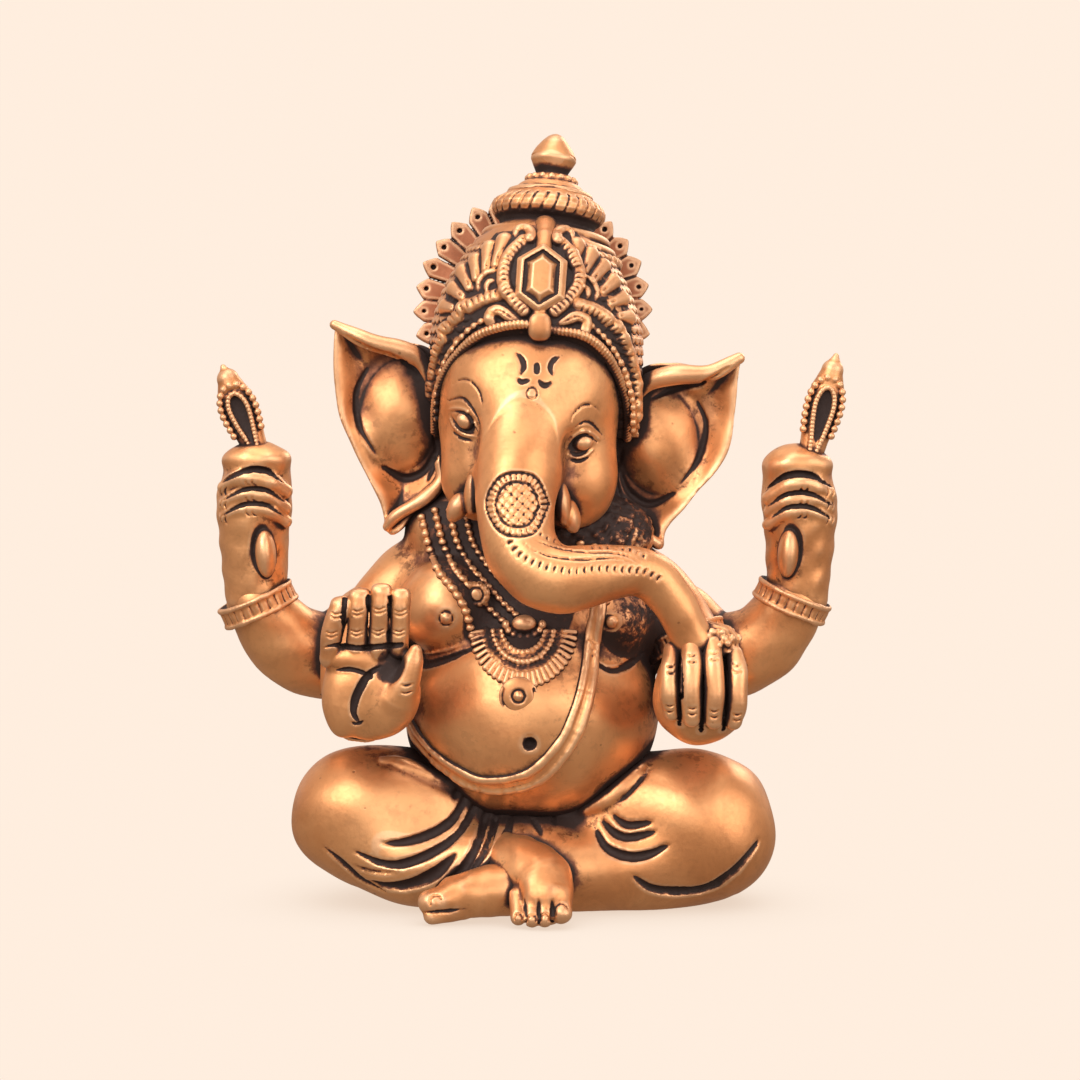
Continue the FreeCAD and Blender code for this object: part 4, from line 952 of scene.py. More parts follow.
def halo_disc():
    """The rayed disc: drilled rays round a plate, with a lotus boss on its back."""
    centre = turned([(0, 29, 38)])[0] - (2.0, 0, 0)
    axis = LEAN @ np.array([0, 1.0, 0])
    across, up = LEAN @ np.array([1.0, 0, 0]), LEAN @ np.array([0, 0, 1.0])
    clay = Clay(centre - (39, 8, 39), centre + (39, 9, 39), 0.42)

    def disc(x, y, z):
        p = (x - centre[0], y - centre[1], z - centre[2])
        a = p[0] * across[0] + p[1] * across[1] + p[2] * across[2]
        b = p[0] * up[0] + p[1] * up[1] + p[2] * up[2]
        t = p[0] * axis[0] + p[1] * axis[1] + p[2] * axis[2]
        r = np.sqrt(a ** 2 + b ** 2)
        turn = np.arctan2(a, b) / (2 * math.pi / RAYS) + 0.5
        side = (turn - np.floor(turn) - 0.5) * 2
        tip = 36.6 - 3.4 * np.abs(side) ** 1.2
        plate = np.maximum((r - tip) * 0.9, np.abs(t) - 1.45)
        slit = np.maximum((1 - np.abs(side)) * r * math.pi / RAYS - 0.16, 22.0 - r)
        boss = np.maximum(np.abs(r - 12.5) - 1.0, 0.0) + np.maximum(np.abs(t - 1.8) - 0.9, 0)
        petals = 0.7 * np.clip(1 - np.abs(r - 17.5) / 3.2, 0, 1) * np.abs(np.cos(turn * math.pi * 0.4))
        back = np.where(t > 0, petals + 0.9 * np.clip(1 - (r / 5.0) ** 2, 0, 1), 0)
        return np.minimum(np.maximum(plate - back, -slit), boss - 0.4)
    clay.add((*clay.span(), disc))
    for turn in np.linspace(0, 2 * math.pi, RAYS, endpoint=False):
        out = across * math.sin(turn) + up * math.cos(turn)
        p = centre + out * 33.2 - axis * 1.9
        clay.cut(rod(p, p + axis * 1.2, 0.62))
        clay.stain(rod(p, p + axis * 1.2, 0.62))
        edge = out * math.cos(math.pi / RAYS) + np.cross(axis, out) * math.sin(math.pi / RAYS)
        line = (centre + edge * 20 - axis * 1.5, centre + edge * 34 - axis * 1.5)
        clay.cut(rod(*line, 0.45))
        clay.stain(rod(*line, 0.5), 0)
    return work(clay, 44, 7, 0.18)


def sash():
    """The smooth band across the belly, laid on the torso's skin."""
    clay = Clay((-44, -52, 26), (32, 0, 98), 0.42)
    path = [(21.7, 94), (20.6, 87), (19.0, 79), (17.9, 70), (15.7, 61), (11.6, 51.2), (4.2, 42.4),
            (-3.6, 38.8),
            (-12.4, 38.0), (-19.5, 40.6), (-26.6, 45.2), (-31.7, 50.2), (-36, 57)]
    points, normals = lay(TORSO, path, 0.8)
    along = np.gradient(points, axis=0)
    across = np.cross(along, normals)
    across /= np.linalg.norm(across, axis=1, keepdims=True)
    wide = np.interp(np.linspace(0, 1, len(points)), [0, 0.3, 0.6, 0.8, 1], [0.8, 1.5, 2.1, 1.8, 1.0])
    for slide, lift in ((-1.0, 0.45), (0.0, -0.15), (1.0, 0.3)):
        line = points + across * (wide * slide)[:, None] + normals * (lift - 0.35)
        string(clay.add, line, 1.35, 0.5)
    work(clay, 51, 7, 0.15)
    for slide in (-1.0, 1.0):
        line = points + across * ((wide + 1.55) * slide)[:, None]
        string(clay.stain, line, 0.55)
    return clay


def necklace():
    """The bead strands on the chest, with the round boss and the rosette."""
    clay = Clay((-36, -46, 74), (32, 2, 120), 0.38)
    strands = [([(-31, 114), (-28.6, 105), (-25.4, 98.6), (-20.8, 93.2), (-17.6, 87.5), (-15.8, 80)], 1.5,
                2.5, 1.45),
               ([(-27, 116), (-24.4, 106), (-21.0, 99.6), (-16.4, 94.2), (-11.8, 88.6), (-7.0, 84.4)], 1.3,
                2.4, 1.35),
               ([(-22.6, 116), (-20.4, 106.8), (-16.8, 100.4), (-12.0, 95.0), (-7.0, 89.6), (-3, 86)], 1.3,
                2.3, 1.3),
               ([(-18, 116), (-16, 107.4), (-12.4, 101.4), (-7.6, 96), (-2, 91.4)], 1.25, 2.2, 1.25),
               ([(23.8, 104), (25, 98), (24, 92.4), (21.6, 88)], 1.4, 2.4, 1.35),
               ([(19.6, 106), (20.6, 99.4), (18.6, 93), (13.4, 88)], 1.2, 2.2, 1.25),
               ([(15.6, 107), (15.6, 101), (12.4, 95.4), (7.6, 90)], 1.2, 2.2, 1.25)]
    for path, base, pitch, bead in strands:
        points, normals = lay(TORSO, path, 0.8)
        for i in range(len(points) - 1):
            clay.add(rod(points[i] - normals[i] * 0.5, points[i + 1] - normals[i + 1] * 0.5, base * 0.75),
                     0.3)
        points, normals = lay(TORSO, path, pitch)
        for p, n in zip(points, normals):
            clay.add(egg(p, (bead * 1.05, bead, bead * 0.85)), 0.1)
    # the round boss on the idol's right breast, with its radial cuts
    points, normals = TORSO.skin([(-14.5, 0, 92.0)])
    p, n = points[0], normals[0]
    clay.add(egg(p, (4.0, 2.0, 4.0)), 0.3)
    stroke(clay, arc(-14.5, 92, 2.2, 0, 360), 0.45, 0.5, ends="")
    for turn in np.radians(np.arange(0, 360, 30)):
        way = np.array([math.cos(turn), math.sin(turn)])
        stroke(clay, [np.array([-14.5, 92]) + way * 2.9, np.array([-14.5, 92]) + way * 4.1], 0.25, 0.25,
               ends="")
    # the small hanging rosette over the breastplate
    points, normals = TORSO.skin([(-0.7, 0, 83)])
    p = points[0]
    clay.add(egg(p + (0, -1.2, 0.6), (3.6, 2.6, 2.8)), 0.4)
    for turn in np.radians(np.linspace(190, 350, 8)):
        clay.add(egg(p + (5.3 * math.cos(turn), -1.3, 1.2 + 4.6 * math.sin(turn)), (1.25, 1.6, 1.5)), 0.1)
    return clay


def collar():
    """The crescent breastplate: a plain ring, two rows of beads and a fringe of petals."""
    clay = Clay((-22, -52, 60), (24, -20, 92), 0.34)
    centre = np.array([-0.9, 82.0])
    for radius, fat in ((11.0, 2.1), (7.0, 1.5)):
        turn = np.radians(np.linspace(183, 357, 50))
        path = np.stack([centre[0] + radius * np.cos(turn), centre[1] + radius * np.sin(turn)], axis=1)
        points, normals = lay(TORSO, path, 0.6)
        line = points - normals * (fat - 0.8)
        for a, b in zip(line, line[1:]):
            clay.add(rod(a, b, fat))
            clay.stain(rod(a, b, fat), 0.3)
    for first, last, radii, fat, count in ((184, 356, (11.9, 15.0), (0.75, 1.0), 27),
                                           (186, 354, (8.7, 8.9), (1.0, 1.0), 21),
                                           (188, 352, (6.2, 6.3), (0.9, 0.9), 15)):
        for turn in np.radians(np.linspace(first, last, count)):
            way = np.array([math.cos(turn), math.sin(turn)])
            points, normals = TORSO.skin([(centre[0] + way[0] * r, 0, centre[1] + way[1] * r)
                                          for r in radii])
            if len(points) == 2:
                clay.add(rod(points[0] + normals[0] * 0.5, points[1] + normals[1] * 0.1, *fat))
    return clay


def pendant():
    """The round engraved disc below the collar."""
    clay = Clay((-10, -52, 55), (6, -28, 74), 0.34)
    points, normals = TORSO.skin([(-2.2, 0, 64.2)])
    p, n = points[0], normals[0]
    clay.add(egg(p - n * 0.7, (5.7, 1.7, 5.7)), 0)
    stroke(clay, arc(-2.2, 64.2, 4.9, 155, 385), 0.42, 0.45, ends="")
    stroke(clay, arc(-2.2, 64.2, 1.9, 0, 360), 0.42, 0.45, ends="")
    points, normals = clay.skin([(-2.2, 0, 64.2)])
    clay.add(ball(points[0] - normals[0] * 0.7, 1.2))
    return clay


def palm_hand():
    """The raised open palm."""
    clay = Clay((-64, -60, 46), (-22, -32, 100), 0.34)
    clay.add(egg((-43.8, -43.5, 66.5), (13.6, 8.0, 14.6)))
    clay.add(egg((-51.0, -46, 64), (6.2, 5.4, 11.0), tipped(4)), 2.5)
    clay.add(egg((-37.4, -46.4, 62.6), (6.8, 5.6, 9.2), tipped(24)), 2.0)
    clay.add(egg((-48.5, -46.8, 75.4), (8.6, 4.6, 4.6)), 1.5)
    fingers = [([(-55.0, -47.6, 76), (-54.6, -49.0, 81), (-53.0, -49.8, 87), (-51.6, -49.8, 90.2)], 2.9),
               ([(-47.9, -48, 77), (-47.3, -49.4, 83), (-46.8, -50.2, 89), (-46.4, -50, 92.6)], 2.8),
               ([(-41.6, -48, 77), (-41.2, -49.4, 83), (-40.8, -50.2, 90), (-40.5, -50, 94.0)], 2.75),
               ([(-35.8, -47.6, 78), (-35.5, -49, 83), (-35.2, -49.8, 89.4), (-35.0, -49.6, 92.6)], 2.6)]
    for line, fat in fingers:
        tube(clay, [(*p, fat * 1.07) for p in line], 0.3, 1.0)
        clay.add(boxy((line[3][0], line[3][1] + 0.4, line[3][2] - 0.2), (fat * 1.12, fat * 1.05, 3.1), 3.2),
                 0.3)
    tube(clay, [(-30.9, -50.6, 78.0, 1.8), (-31.9, -50.8, 74.5, 3.1), (-33.2, -50.2, 70, 3.7),
                (-36.2, -48.6, 64, 4.6)],
         1.4, 0.8)
    work(clay, 61, 8, 0.18)
    for x in (-50.9, -44.2, -38.3):
        stroke(clay, [(x - 0.3, 78.2), (x, 84), (x + 0.4, 93)], 0.75, 1.3, ends="a")
    # creases: two fine pairs on every finger
    for x, z in ((-54.2, 82.2), (-47.2, 82.6), (-41.2, 82.8), (-35.4, 82.6), (-52.7, 87.6), (-46.8, 88.4),
                 (-40.9, 88.9),
                 (-35.1, 88.2)):
        for dz in (0, 1.1):
            stroke(clay, [(x - 2.0, z + 0.4 + dz), (x - 0.2, z - 0.35 + dz), (x + 1.9, z + 0.4 + dz)], 0.33,
                   0.36)
    stroke(clay, [(-57.0, 78.8), (-53, 79.6), (-47, 78.8), (-41, 79.2), (-35, 79.6)], 0.75, 1.0, ends="a")
    # the hollow of the palm and its lines
    hollow = egg((-38.4, -53.4, 74.0), (4.2, 3.8, 5.8), tipped(24))
    clay.cut(hollow, 1.0)
    clay.stain(hollow, 0.3)
    stroke(clay, [(-53.6, 72.4), (-49.6, 72.8), (-46.4, 72.2), (-43.4, 70.6)], 0.6, 0.7, ends="a")
    stroke(clay, [(-40.4, 73.6), (-43.8, 71.6), (-46.2, 68.0), (-47.9, 64), (-48.2, 60.4), (-46.6, 57.4)],
           1.1, 1.3)
    stroke(clay, [(-49.2, 58.2), (-47.4, 57.2), (-45.4, 58.4)], 0.6, 0.6)
    for z in (69.2, 67.0):
        stroke(clay, [(-35.2, z - 0.3), (-33.4, z - 0.7), (-31.0, z)], 0.38, 0.42)
    return clay


def sweet_hand():
    """The cupped hand: four long fingers over a rounded ball."""
    clay = Clay((32, -66, 46), (68, -28, 88), 0.36)
    clay.add(egg((49.2, -43.5, 63.4), (13.4, 12.0, 12.6)))
    clay.add(egg((48.8, -43, 70.5), (11.0, 9.0, 9.0)), 4)
    fingers = [([(41.0, -49.5, 77.8), (39.9, -53.4, 72.5), (39.8, -54.6, 66.5), (40.4, -53.2, 60.8)], 2.65),
               ([(46.0, -51.5, 80.0), (46.0, -55.2, 74), (46.0, -56.6, 66.5), (46.2, -55.4, 59.6)], 2.95),
               ([(52.2, -51.5, 80.2), (52.2, -55.2, 74), (52.2, -56.6, 66.5), (52.0, -55.4, 58.9)], 2.85),
               ([(58.4, -49.5, 77.0), (58.9, -53.2, 71.5), (58.9, -54.4, 64.5), (58.2, -53, 58.4)], 2.75)]
    for line, fat in fingers:
        tube(clay, [(*p, fat * f) for p, f in zip(line, (0.92, 1.0, 1.0, 0.85))], 0.8, 1.0)
    work(clay, 62, 8, 0.18)
    for x, top, low in ((43.0, 77, 57.5), (49.1, 78, 55.5), (55.5, 77, 56)):
        stroke(clay, [(x, top), (x, (top + low) / 2), (x - 0.2, low)], 0.85, 1.7, ends="a")
    for x, z in ((40.2, 75.4), (46.0, 78.6), (52.2, 79.2), (58.7, 75.6)):
        for drop in (0, 1.8):
            stroke(clay, arc(x, z - drop, 1.5, 205, 335), 0.4, 0.42)
    for x, z in ((39.9, 64.4), (46.0, 64.0), (52.1, 63.2), (58.7, 62.0)):
        for drop in (0, 1.7):
            stroke(clay, arc(x, z - drop, 1.5, 205, 335), 0.4, 0.42)
    return clay


def sweet():
    clay = Clay((40, -58, 74), (62, -34, 92), 0.36)
    clay.add(egg((52.4, -46.5, 80.2), (7.4, 7.0, 5.4)))
    pick = np.random.default_rng(9)
    for _ in range(46):
        way = pick.normal(size=3)
        way[1] -= 0.6
        way /= np.linalg.norm(way)
        clay.add(ball(np.array([52.4, -46.5, 80.2]) + way * (7.1, 6.8, 5.2), pick.uniform(0.7, 1.3)), 0.15)
    return work(clay, 63, 2.4, 0.35)


def fist(side):
    """A rear hand: fingers folded across, the thumb upright below them."""
    cx = 81.0 * side

    def at(x, y, z):
        return (cx + x * side, y, z)
    clay = Clay((cx - 17, -20, 86), (cx + 17, 16, 140), 0.38)
    tube(clay, [(*at(0.4, 0, 90), 9.0), (*at(0.6, 0, 98), 9.7), (*at(0.8, -0.5, 108), 10.4),
                (*at(0.6, -1, 118), 11.2),
                (*at(-0.4, -1.5, 126), 10.0)], 0, 1.2)
    clay.add(egg(at(-0.4, -3, 131.0 if side < 0 else 129.5), (10.4, 8.6, 4.9)), 2.0)
    rows = ((124.6, 3.0), (119.8, 2.6), (115.6, 2.4)) if side < 0 else ((122.6, 2.8), (118.6, 2.4),
                                                                        (114.8, 2.4))
    for z, fat in rows:
        tube(clay, [(*at(8.6, -6.5, z - 2.0), fat * 0.8), (*at(3.5, -9.8, z + 0.6), fat),
                    (*at(-3.5, -9.6, z + 0.4), fat),
                    (*at(-9.0, -6.2, z - 3.2), fat * 0.8)], 0.6, 1.0)
    work(clay, 64, 8, 0.2)
    pocket = egg(at(-3.6, -12.2, 103.6), (4.6, 3.6, 8.8))
    clay.cut(pocket, 1.0)
    clay.stain(pocket, 0.3)
    clay.add(egg(at(-3.6, -9.6, 103.2), (3.1, 4.4, 7.2), tipped(4 * side)), 0.3)
    top = 127.6 if side < 0 else 126.2
    for z, deep in ((top, 1.3), (rows[1][0] + 2.2, 0.75), (rows[2][0] + 2.0, 0.75)):
        stroke(clay, [(cx + 9.6 * side, z - 3.4), (cx + 3 * side, z), (cx - 4 * side, z),
                      (cx - 9.4 * side, z - 3.6)],
               deep * 0.9, deep * 1.2, ends="ab")
    for z, _ in rows:
        for dx in (-1.2, 0.6):
            stroke(clay, arc(cx + dx * side, z, 1.2, 90 - 60 * side, 90 - 200 * side), 0.36, 0.36)
    for z in (121.4, 117.4, 113.2):
        for dx in (7.6, 9.2):
            x = cx + dx * side
            stroke(clay, [(x, z + 1.7), (x + 0.9 * side, z), (x, z - 1.7)], 0.36, 0.36)
    return clay


def held(side):
    """The leaf-shaped thing in a rear hand: a beaded loop inside a scalloped rim, and a turned tip."""
    if side < 0:
        base, tip = np.array([-79.6, -4.5, 131.0]), np.array([-90.4, -4.5, 158.6])
    else:
        base, tip = np.array([83.6, -4.5, 129.0]), np.array([92.0, -4.5, 162.0])
    low, high = np.minimum(base, tip) - (11, 8, 4), np.maximum(base, tip) + (11, 8, 4)
    clay = Clay(low, high, 0.3)
    way = (tip - base) / np.linalg.norm(tip - base)
    side_way = np.cross(way, (0, 1, 0))
    long = np.linalg.norm(tip - base)
    steps = [(0.0, 3.4), (0.18, 3.8), (0.36, 4.7), (0.54, 5.3), (0.68, 4.9), (0.78, 3.7), (0.82, 2.8)]
    for (s, r), (t, q) in zip(steps, steps[1:]):
        for k in np.linspace(0, 1, 6):
            u = s + (t - s) * k
            w = r + (q - r) * k
            clay.add(egg(base + way * long * u, (w, 3.2, w * 0.9 if w > 4 else w)), 0.4)
    inner = [(0.14, -1.3), (0.3, -2.4), (0.5, -3.3), (0.62, -2.8), (0.69, -1.2), (0.70, 0.4), (0.66, 2.2),
             (0.55, 3.2),
             (0.38, 2.6), (0.24, 1.6), (0.14, 1.1)]
    dish = egg(base + way * long * 0.47 + np.array([0, -3.6, 0]), (3.9, 1.7, 8.6),
               np.array(Matrix.Rotation(math.atan2(way[0], way[2]), 3, "Y")))
    clay.cut(dish, 0.3)
    clay.stain(dish, 0.3)
    path = [base + way * long * s + side_way * w * 0.85 + np.array([0, -3.0, 0]) for s, w in inner]
    for p in even(path, 1.15):
        clay.add(egg(p, (0.85, 0.95, 0.85)), 0.1)
    rim = [base + way * long * s + side_way * w + np.array([0, -2.6, 0]) for s, w in
           ((0.3, -4.3), (0.45, -5.0), (0.58, -5.1), (0.7, -4.1), (0.77, -2.2), (0.79, 0), (0.77, 2.2),
            (0.7, 4.1),
            (0.58, 5.1), (0.45, 5.0), (0.3, 4.3))]
    for p in even(rim, 2.2):
        clay.add(ball(p, 1.1), 0.2)
    clay.add(rod(base + way * long * 0.80, base + way * long * 0.86, 3.5, 3.3), 0.2)
    clay.add(rod(base + way * long * 0.885, base + way * long * 0.99, 3.0, 0.9), 0.15)
    return clay


def plug():
    clay = Clay((-7, -15, 18), (10, 3, 29), 0.6)
    clay.add(rod((1.5, -6, 22), (1.5, -6, 26), 5.6), 0)
    return work(clay, 71, 5, 0.2)


# ---- meshes ----


def blur(field, reach):
    """A box average over reach cells each way along every axis."""
    for axis in range(3):
        wide = np.moveaxis(field, axis, 0)
        pad = np.concatenate([np.repeat(wide[:1], reach + 1, 0), wide, np.repeat(wide[-1:], reach, 0)])
        run = np.cumsum(pad, axis=0, dtype=np.float32)
        field = np.moveaxis((run[2 * reach + 1:] - run[:-2 * reach - 1]) / (2 * reach + 1), 0, axis)
    return field


def sample(field, at):
    """Values of a field at fractional cell positions."""
    top = np.array(field.shape) - 2
    cell = np.clip(np.floor(at).astype(int), 0, top)
    f = np.clip(at - cell, 0, 1)
    total = 0.0
    for corner in range(8):
        step = np.array([corner >> 2 & 1, corner >> 1 & 1, corner & 1])
        weight = np.prod(np.where(step, f, 1 - f), axis=1)
        i, j, k = (cell + step).T
        total = total + weight * field[i, j, k]
    return total


class Room:
    """How full of metal the space round a point is, for all the pieces together; it is painted into the
    colour as shade where pieces shut each other in.
    """
    def __init__(self, low, high, step):
        self.block = Clay(low, high, step / COARSE)
        self.full = np.zeros(self.block.count, np.float32)

    def fill(self, clay):
        block = self.block
        here, (x, y, z) = block.window(*clay.span(), 0)
        i, j, k = [np.clip(np.round((v.ravel() - clay.low[n]) / clay.step).astype(int), 0, clay.count[n] - 1)
                   for n, v in enumerate((x, y, z))]
        inside = clay.d[np.ix_(i, j, k)] < 0
        self.full[here] = np.maximum(self.full[here], inside)

    def settle(self):
        self.tight = blur(blur(self.full, 2), 2)
        self.wide = blur(blur(self.full, 5), 5)

    def ask(self, points, normals, reach, field):
        return sample(field, self.block.index(points + normals * reach))


def vertex_normals(clay, points):
    at = clay.index(points)
    n = np.stack([sample(clay.d, at + e) - sample(clay.d, at - e) for e in np.eye(3)], axis=1)
    return n / np.maximum(np.linalg.norm(n, axis=1, keepdims=True), 1e-6)


def mesh(name, clay, room):
    """Skins the clay and stores how sunk and how shut in each vertex is, for the patina in its hollows and
    for painted shade between the pieces.
    """
    clay.d = np.clip(clay.d, -SKIN, SKIN)
    for axis in range(3):
        edge = np.moveaxis(clay.d, axis, 0)
        edge[0], edge[-1] = SKIN, SKIN
    grid = openvdb.FloatGrid(background=SKIN)
    grid.copyFromArray(clay.d)
    points, quads = grid.convertToQuads(0.0)
    places = points * clay.step + clay.low
    normals = vertex_normals(clay, places)
    fine = sample(blur(clay.d, max(int(round(0.8 / clay.step)), 1)) - clay.d, points)
    broad = sample(blur(blur(clay.d, max(int(round(1.6 / clay.step)), 2)),
                        max(int(round(1.2 / clay.step)), 1)) - clay.d, points)
    # occlusion by all the pieces, for painted shade in the colour besides the patina in the hollows
    tight = np.clip((room.ask(places, normals, 1.6, room.tight) - 0.16) / 0.40, 0, 1)
    wide = np.clip((room.ask(places, normals, 4.0, room.wide) - 0.14) / 0.40, 0, 1)
    ink = np.zeros(len(places)) if clay.ink is None else np.clip(0.5 - sample(clay.ink, points) / 0.5, 0, 1)
    relief = np.stack([0.5 - fine * 1.6, 0.5 - broad * 0.7, (tight + wide) / 2, ink], axis=1)
    data = bpy.data.meshes.new(name)
    data.vertices.add(len(places))
    data.vertices.foreach_set("co", ((places + HOME) * MM).astype(np.float32).ravel())
    data.loops.add(quads.size)
    data.loops.foreach_set("vertex_index", quads[:, ::-1].astype(np.int32).ravel())
    data.polygons.add(len(quads))
    data.polygons.foreach_set("loop_start", np.arange(0, quads.size, 4, dtype=np.int32))
    data.update(calc_edges=True)
    layer = data.color_attributes.new("relief", "FLOAT_COLOR", "POINT")
    layer.data.foreach_set("color", np.clip(relief, 0, 1).astype(np.float32).ravel())
    data.polygons.foreach_set("use_smooth", np.ones(len(quads), bool))
    thing = bpy.data.objects.new(name, data)
    bpy.context.scene.collection.objects.link(thing)
    return thing


# ---- metal ----


class Nodes:
    """Adds and joins shader nodes."""
    def __init__(self, tree):
        self.tree = tree
        tree.nodes.clear()

    def make(self, kind, **settings):
        node = self.tree.nodes.new(kind)
        for name, value in settings.items():
            setattr(node, name, value)
        return node

    def join(self, source, target):
        self.tree.links.new(source, target)

    def math(self, operation, a, b):
        node = self.make("ShaderNodeMath", operation=operation)
        for socket, value in zip(node.inputs, (a, b)):
            if isinstance(value, (int, float)):
                socket.default_value = value
            else:
                self.join(value, socket)
        return node.outputs[0]

    def noise(self, place, scale, detail=3.0, roughness=0.55, warp=0.0):
        node = self.make("ShaderNodeTexNoise")
        node.inputs["Scale"].default_value = scale
        node.inputs["Detail"].default_value = detail
        node.inputs["Roughness"].default_value = roughness
        node.inputs["Distortion"].default_value = warp
        self.join(place, node.inputs["Vector"])
        return node.outputs["Fac"]

    def remap(self, value, low, high, to_low=0.0, to_high=1.0):
        node = self.make("ShaderNodeMapRange", interpolation_type="SMOOTHSTEP")
        for name, number in (("From Min", low), ("From Max", high), ("To Min", to_low), ("To Max", to_high)):
            node.inputs[name].default_value = number
        self.join(value, node.inputs["Value"])
        return node.outputs["Result"]

    def mix(self, amount, a, b):
        node = self.make("ShaderNodeMix", data_type="RGBA")
        for socket, value in ((node.inputs[0], amount), (node.inputs[6], a), (node.inputs[7], b)):
            if isinstance(value, tuple):
                socket.default_value = (*value, 1)
            elif isinstance(value, (int, float)):
                socket.default_value = value
            else:
                self.join(value, socket)
        return node.outputs[2]


def brass(name, bright, deep, dark, grime, shine):
    """Patinated brass: bright on the highs, dark in the sunk places that the relief layer marks, with
    painted shade where the pieces shut each other in.
    """
    material = bpy.data.materials.new(name)
    material.use_nodes = True
    n = Nodes(material.node_tree)
    place = n.make("ShaderNodeNewGeometry").outputs["Position"]
    relief = n.make("ShaderNodeAttribute", attribute_name="relief")
    parts = n.make("ShaderNodeSeparateColor")
    n.join(relief.outputs["Color"], parts.inputs["Color"])
    fine, broad, shut_in_patina_and_shade = parts.outputs
    ink = relief.outputs["Alpha"]
    blotch = n.noise(place, 45, 4, 0.6, 0.4)
    grain = n.noise(place, 420, 4, 0.65)
    speck = n.noise(place, 900, 2, 0.6)
    sunk = n.math("ADD", n.remap(fine, 0.55, 0.95, 0, 0.75), n.remap(broad, 0.56, 0.92, 0, 0.7))
    rash = n.noise(place, 330, 3, 0.7)
    # painted shade: the occlusion by all the pieces darkens the colour, on top of the real patina in the
    # chased hollows
    total = n.math("ADD", sunk, n.math("MULTIPLY", shut_in_patina_and_shade, 1.6))
    total = n.math("ADD", total, n.math("MULTIPLY", ink, n.remap(rash, 0.38, 0.62, 0.5, 0.95)))
    uneven = n.math("ADD", n.remap(blotch, 0.3, 0.75, -0.14, 0.2), n.remap(grain, 0.25, 0.8, -0.10, 0.14))
    mask = n.remap(n.math("ADD", n.math("ADD", total, uneven), grime), 0.28, 1.05)
    cloud = n.noise(place, 62, 5, 0.68, 0.8)
    # near mixes the sunk hollows with the occlusion, so the brown blotches and spots gather partly where
    # shade falls: real patina with painted shade
    near = n.remap(n.math("ADD", broad, n.math("MULTIPLY", shut_in_patina_and_shade, 0.6)), 0.47, 0.72)
    worn = n.math("MULTIPLY", n.remap(cloud, 0.45, 0.62), n.math("ADD", n.math("MULTIPLY", near, 0.8), 0.22))
    spots = n.math("MULTIPLY", n.remap(rash, 0.52, 0.64),
                   n.math("ADD", n.math("MULTIPLY", near, 0.85), 0.08))
    high = n.remap(fine, 0.34, 0.47, 1, 0)
    tone = n.mix(n.remap(n.noise(place, 28, 3, 0.5, 0.6), 0.35, 0.65), bright, deep)
    tone = n.mix(n.math("MULTIPLY", high, 0.5), tone, (0.96, 0.62, 0.37))
    tone = n.mix(n.math("MULTIPLY", worn, 0.8), tone, (0.36, 0.135, 0.06))
    tone = n.mix(n.math("MULTIPLY", spots, 0.85), tone, (0.12, 0.045, 0.026))
    tone = n.mix(n.remap(mask, 0.02, 0.5), tone, (0.25, 0.10, 0.058))
    tone = n.mix(n.remap(mask, 0.35, 0.95), tone, dark)
    pits = n.make("ShaderNodeTexVoronoi", feature="F1")
    pits.inputs["Scale"].default_value = 210
    n.join(place, pits.inputs["Vector"])
    hole = n.math("MULTIPLY", n.remap(pits.outputs["Distance"], 0.05, 0.13, 1, 0),
                  n.remap(n.noise(place, 95, 2, 0.5), 0.56, 0.66))
    tone = n.mix(n.math("MULTIPLY", hole, 0.75), tone, (0.09, 0.035, 0.025))
    shader = n.make("ShaderNodeBsdfPrincipled")
    n.join(tone, shader.inputs["Base Color"])
    n.join(n.remap(mask, 0.35, 1.0, 0.74, 0.25), shader.inputs["Metallic"])
    rough = n.math("ADD", n.remap(mask, 0.05, 0.8, shine, 0.68), n.remap(speck, 0.3, 0.75, -0.03, 0.07))
    n.join(rough, shader.inputs["Roughness"])
    bump = n.make("ShaderNodeBump")
    bump.inputs["Strength"].default_value = 0.35
    bump.inputs["Distance"].default_value = 0.00035
    height = n.math("SUBTRACT", n.math("MULTIPLY", grain, 0.5), n.math("MULTIPLY", hole, 0.9))
    soft = n.math("ADD", height, n.math("MULTIPLY", n.noise(place, 150, 2, 0.5), 0.7))
    n.join(soft, bump.inputs["Height"])
    n.join(bump.outputs["Normal"], shader.inputs["Normal"])
    out = n.make("ShaderNodeOutputMaterial")
    n.join(shader.outputs["BSDF"], out.inputs["Surface"])
    return material


# ---- the whole idol ----

RIGHT_ARM = [(-44, -2, 83, 11.5), (-48.5, -4, 76, 11.6), (-50, -14, 65, 10.8), (-48, -27, 61, 9.4),
             (-46, -38, 61.5, 8.6)]
LEFT_ARM = [(45, -2, 79, 11.3), (50, -4, 73, 11.4), (52, -14, 64, 10.6), (51.5, -26, 61, 9.3),
            (50.5, -37, 61, 8.6)]
RIGHT_REAR = [(-26, 13, 93, 11.5), (-44, 13.5, 82, 13), (-58, 11, 71.5, 13.4), (-70, 6, 74, 12.6),
              (-77, 2.5, 81, 11),
              (-80.6, 0.5, 88, 10)]
LEFT_REAR = [(26, 13, 92, 11.5), (43, 13.5, 82, 13), (56, 11, 71.5, 13.4), (68, 6, 73.5, 12.6),
             (75.5, 2.5, 80.5, 11),
             (79.4, 0.5, 88, 10)]

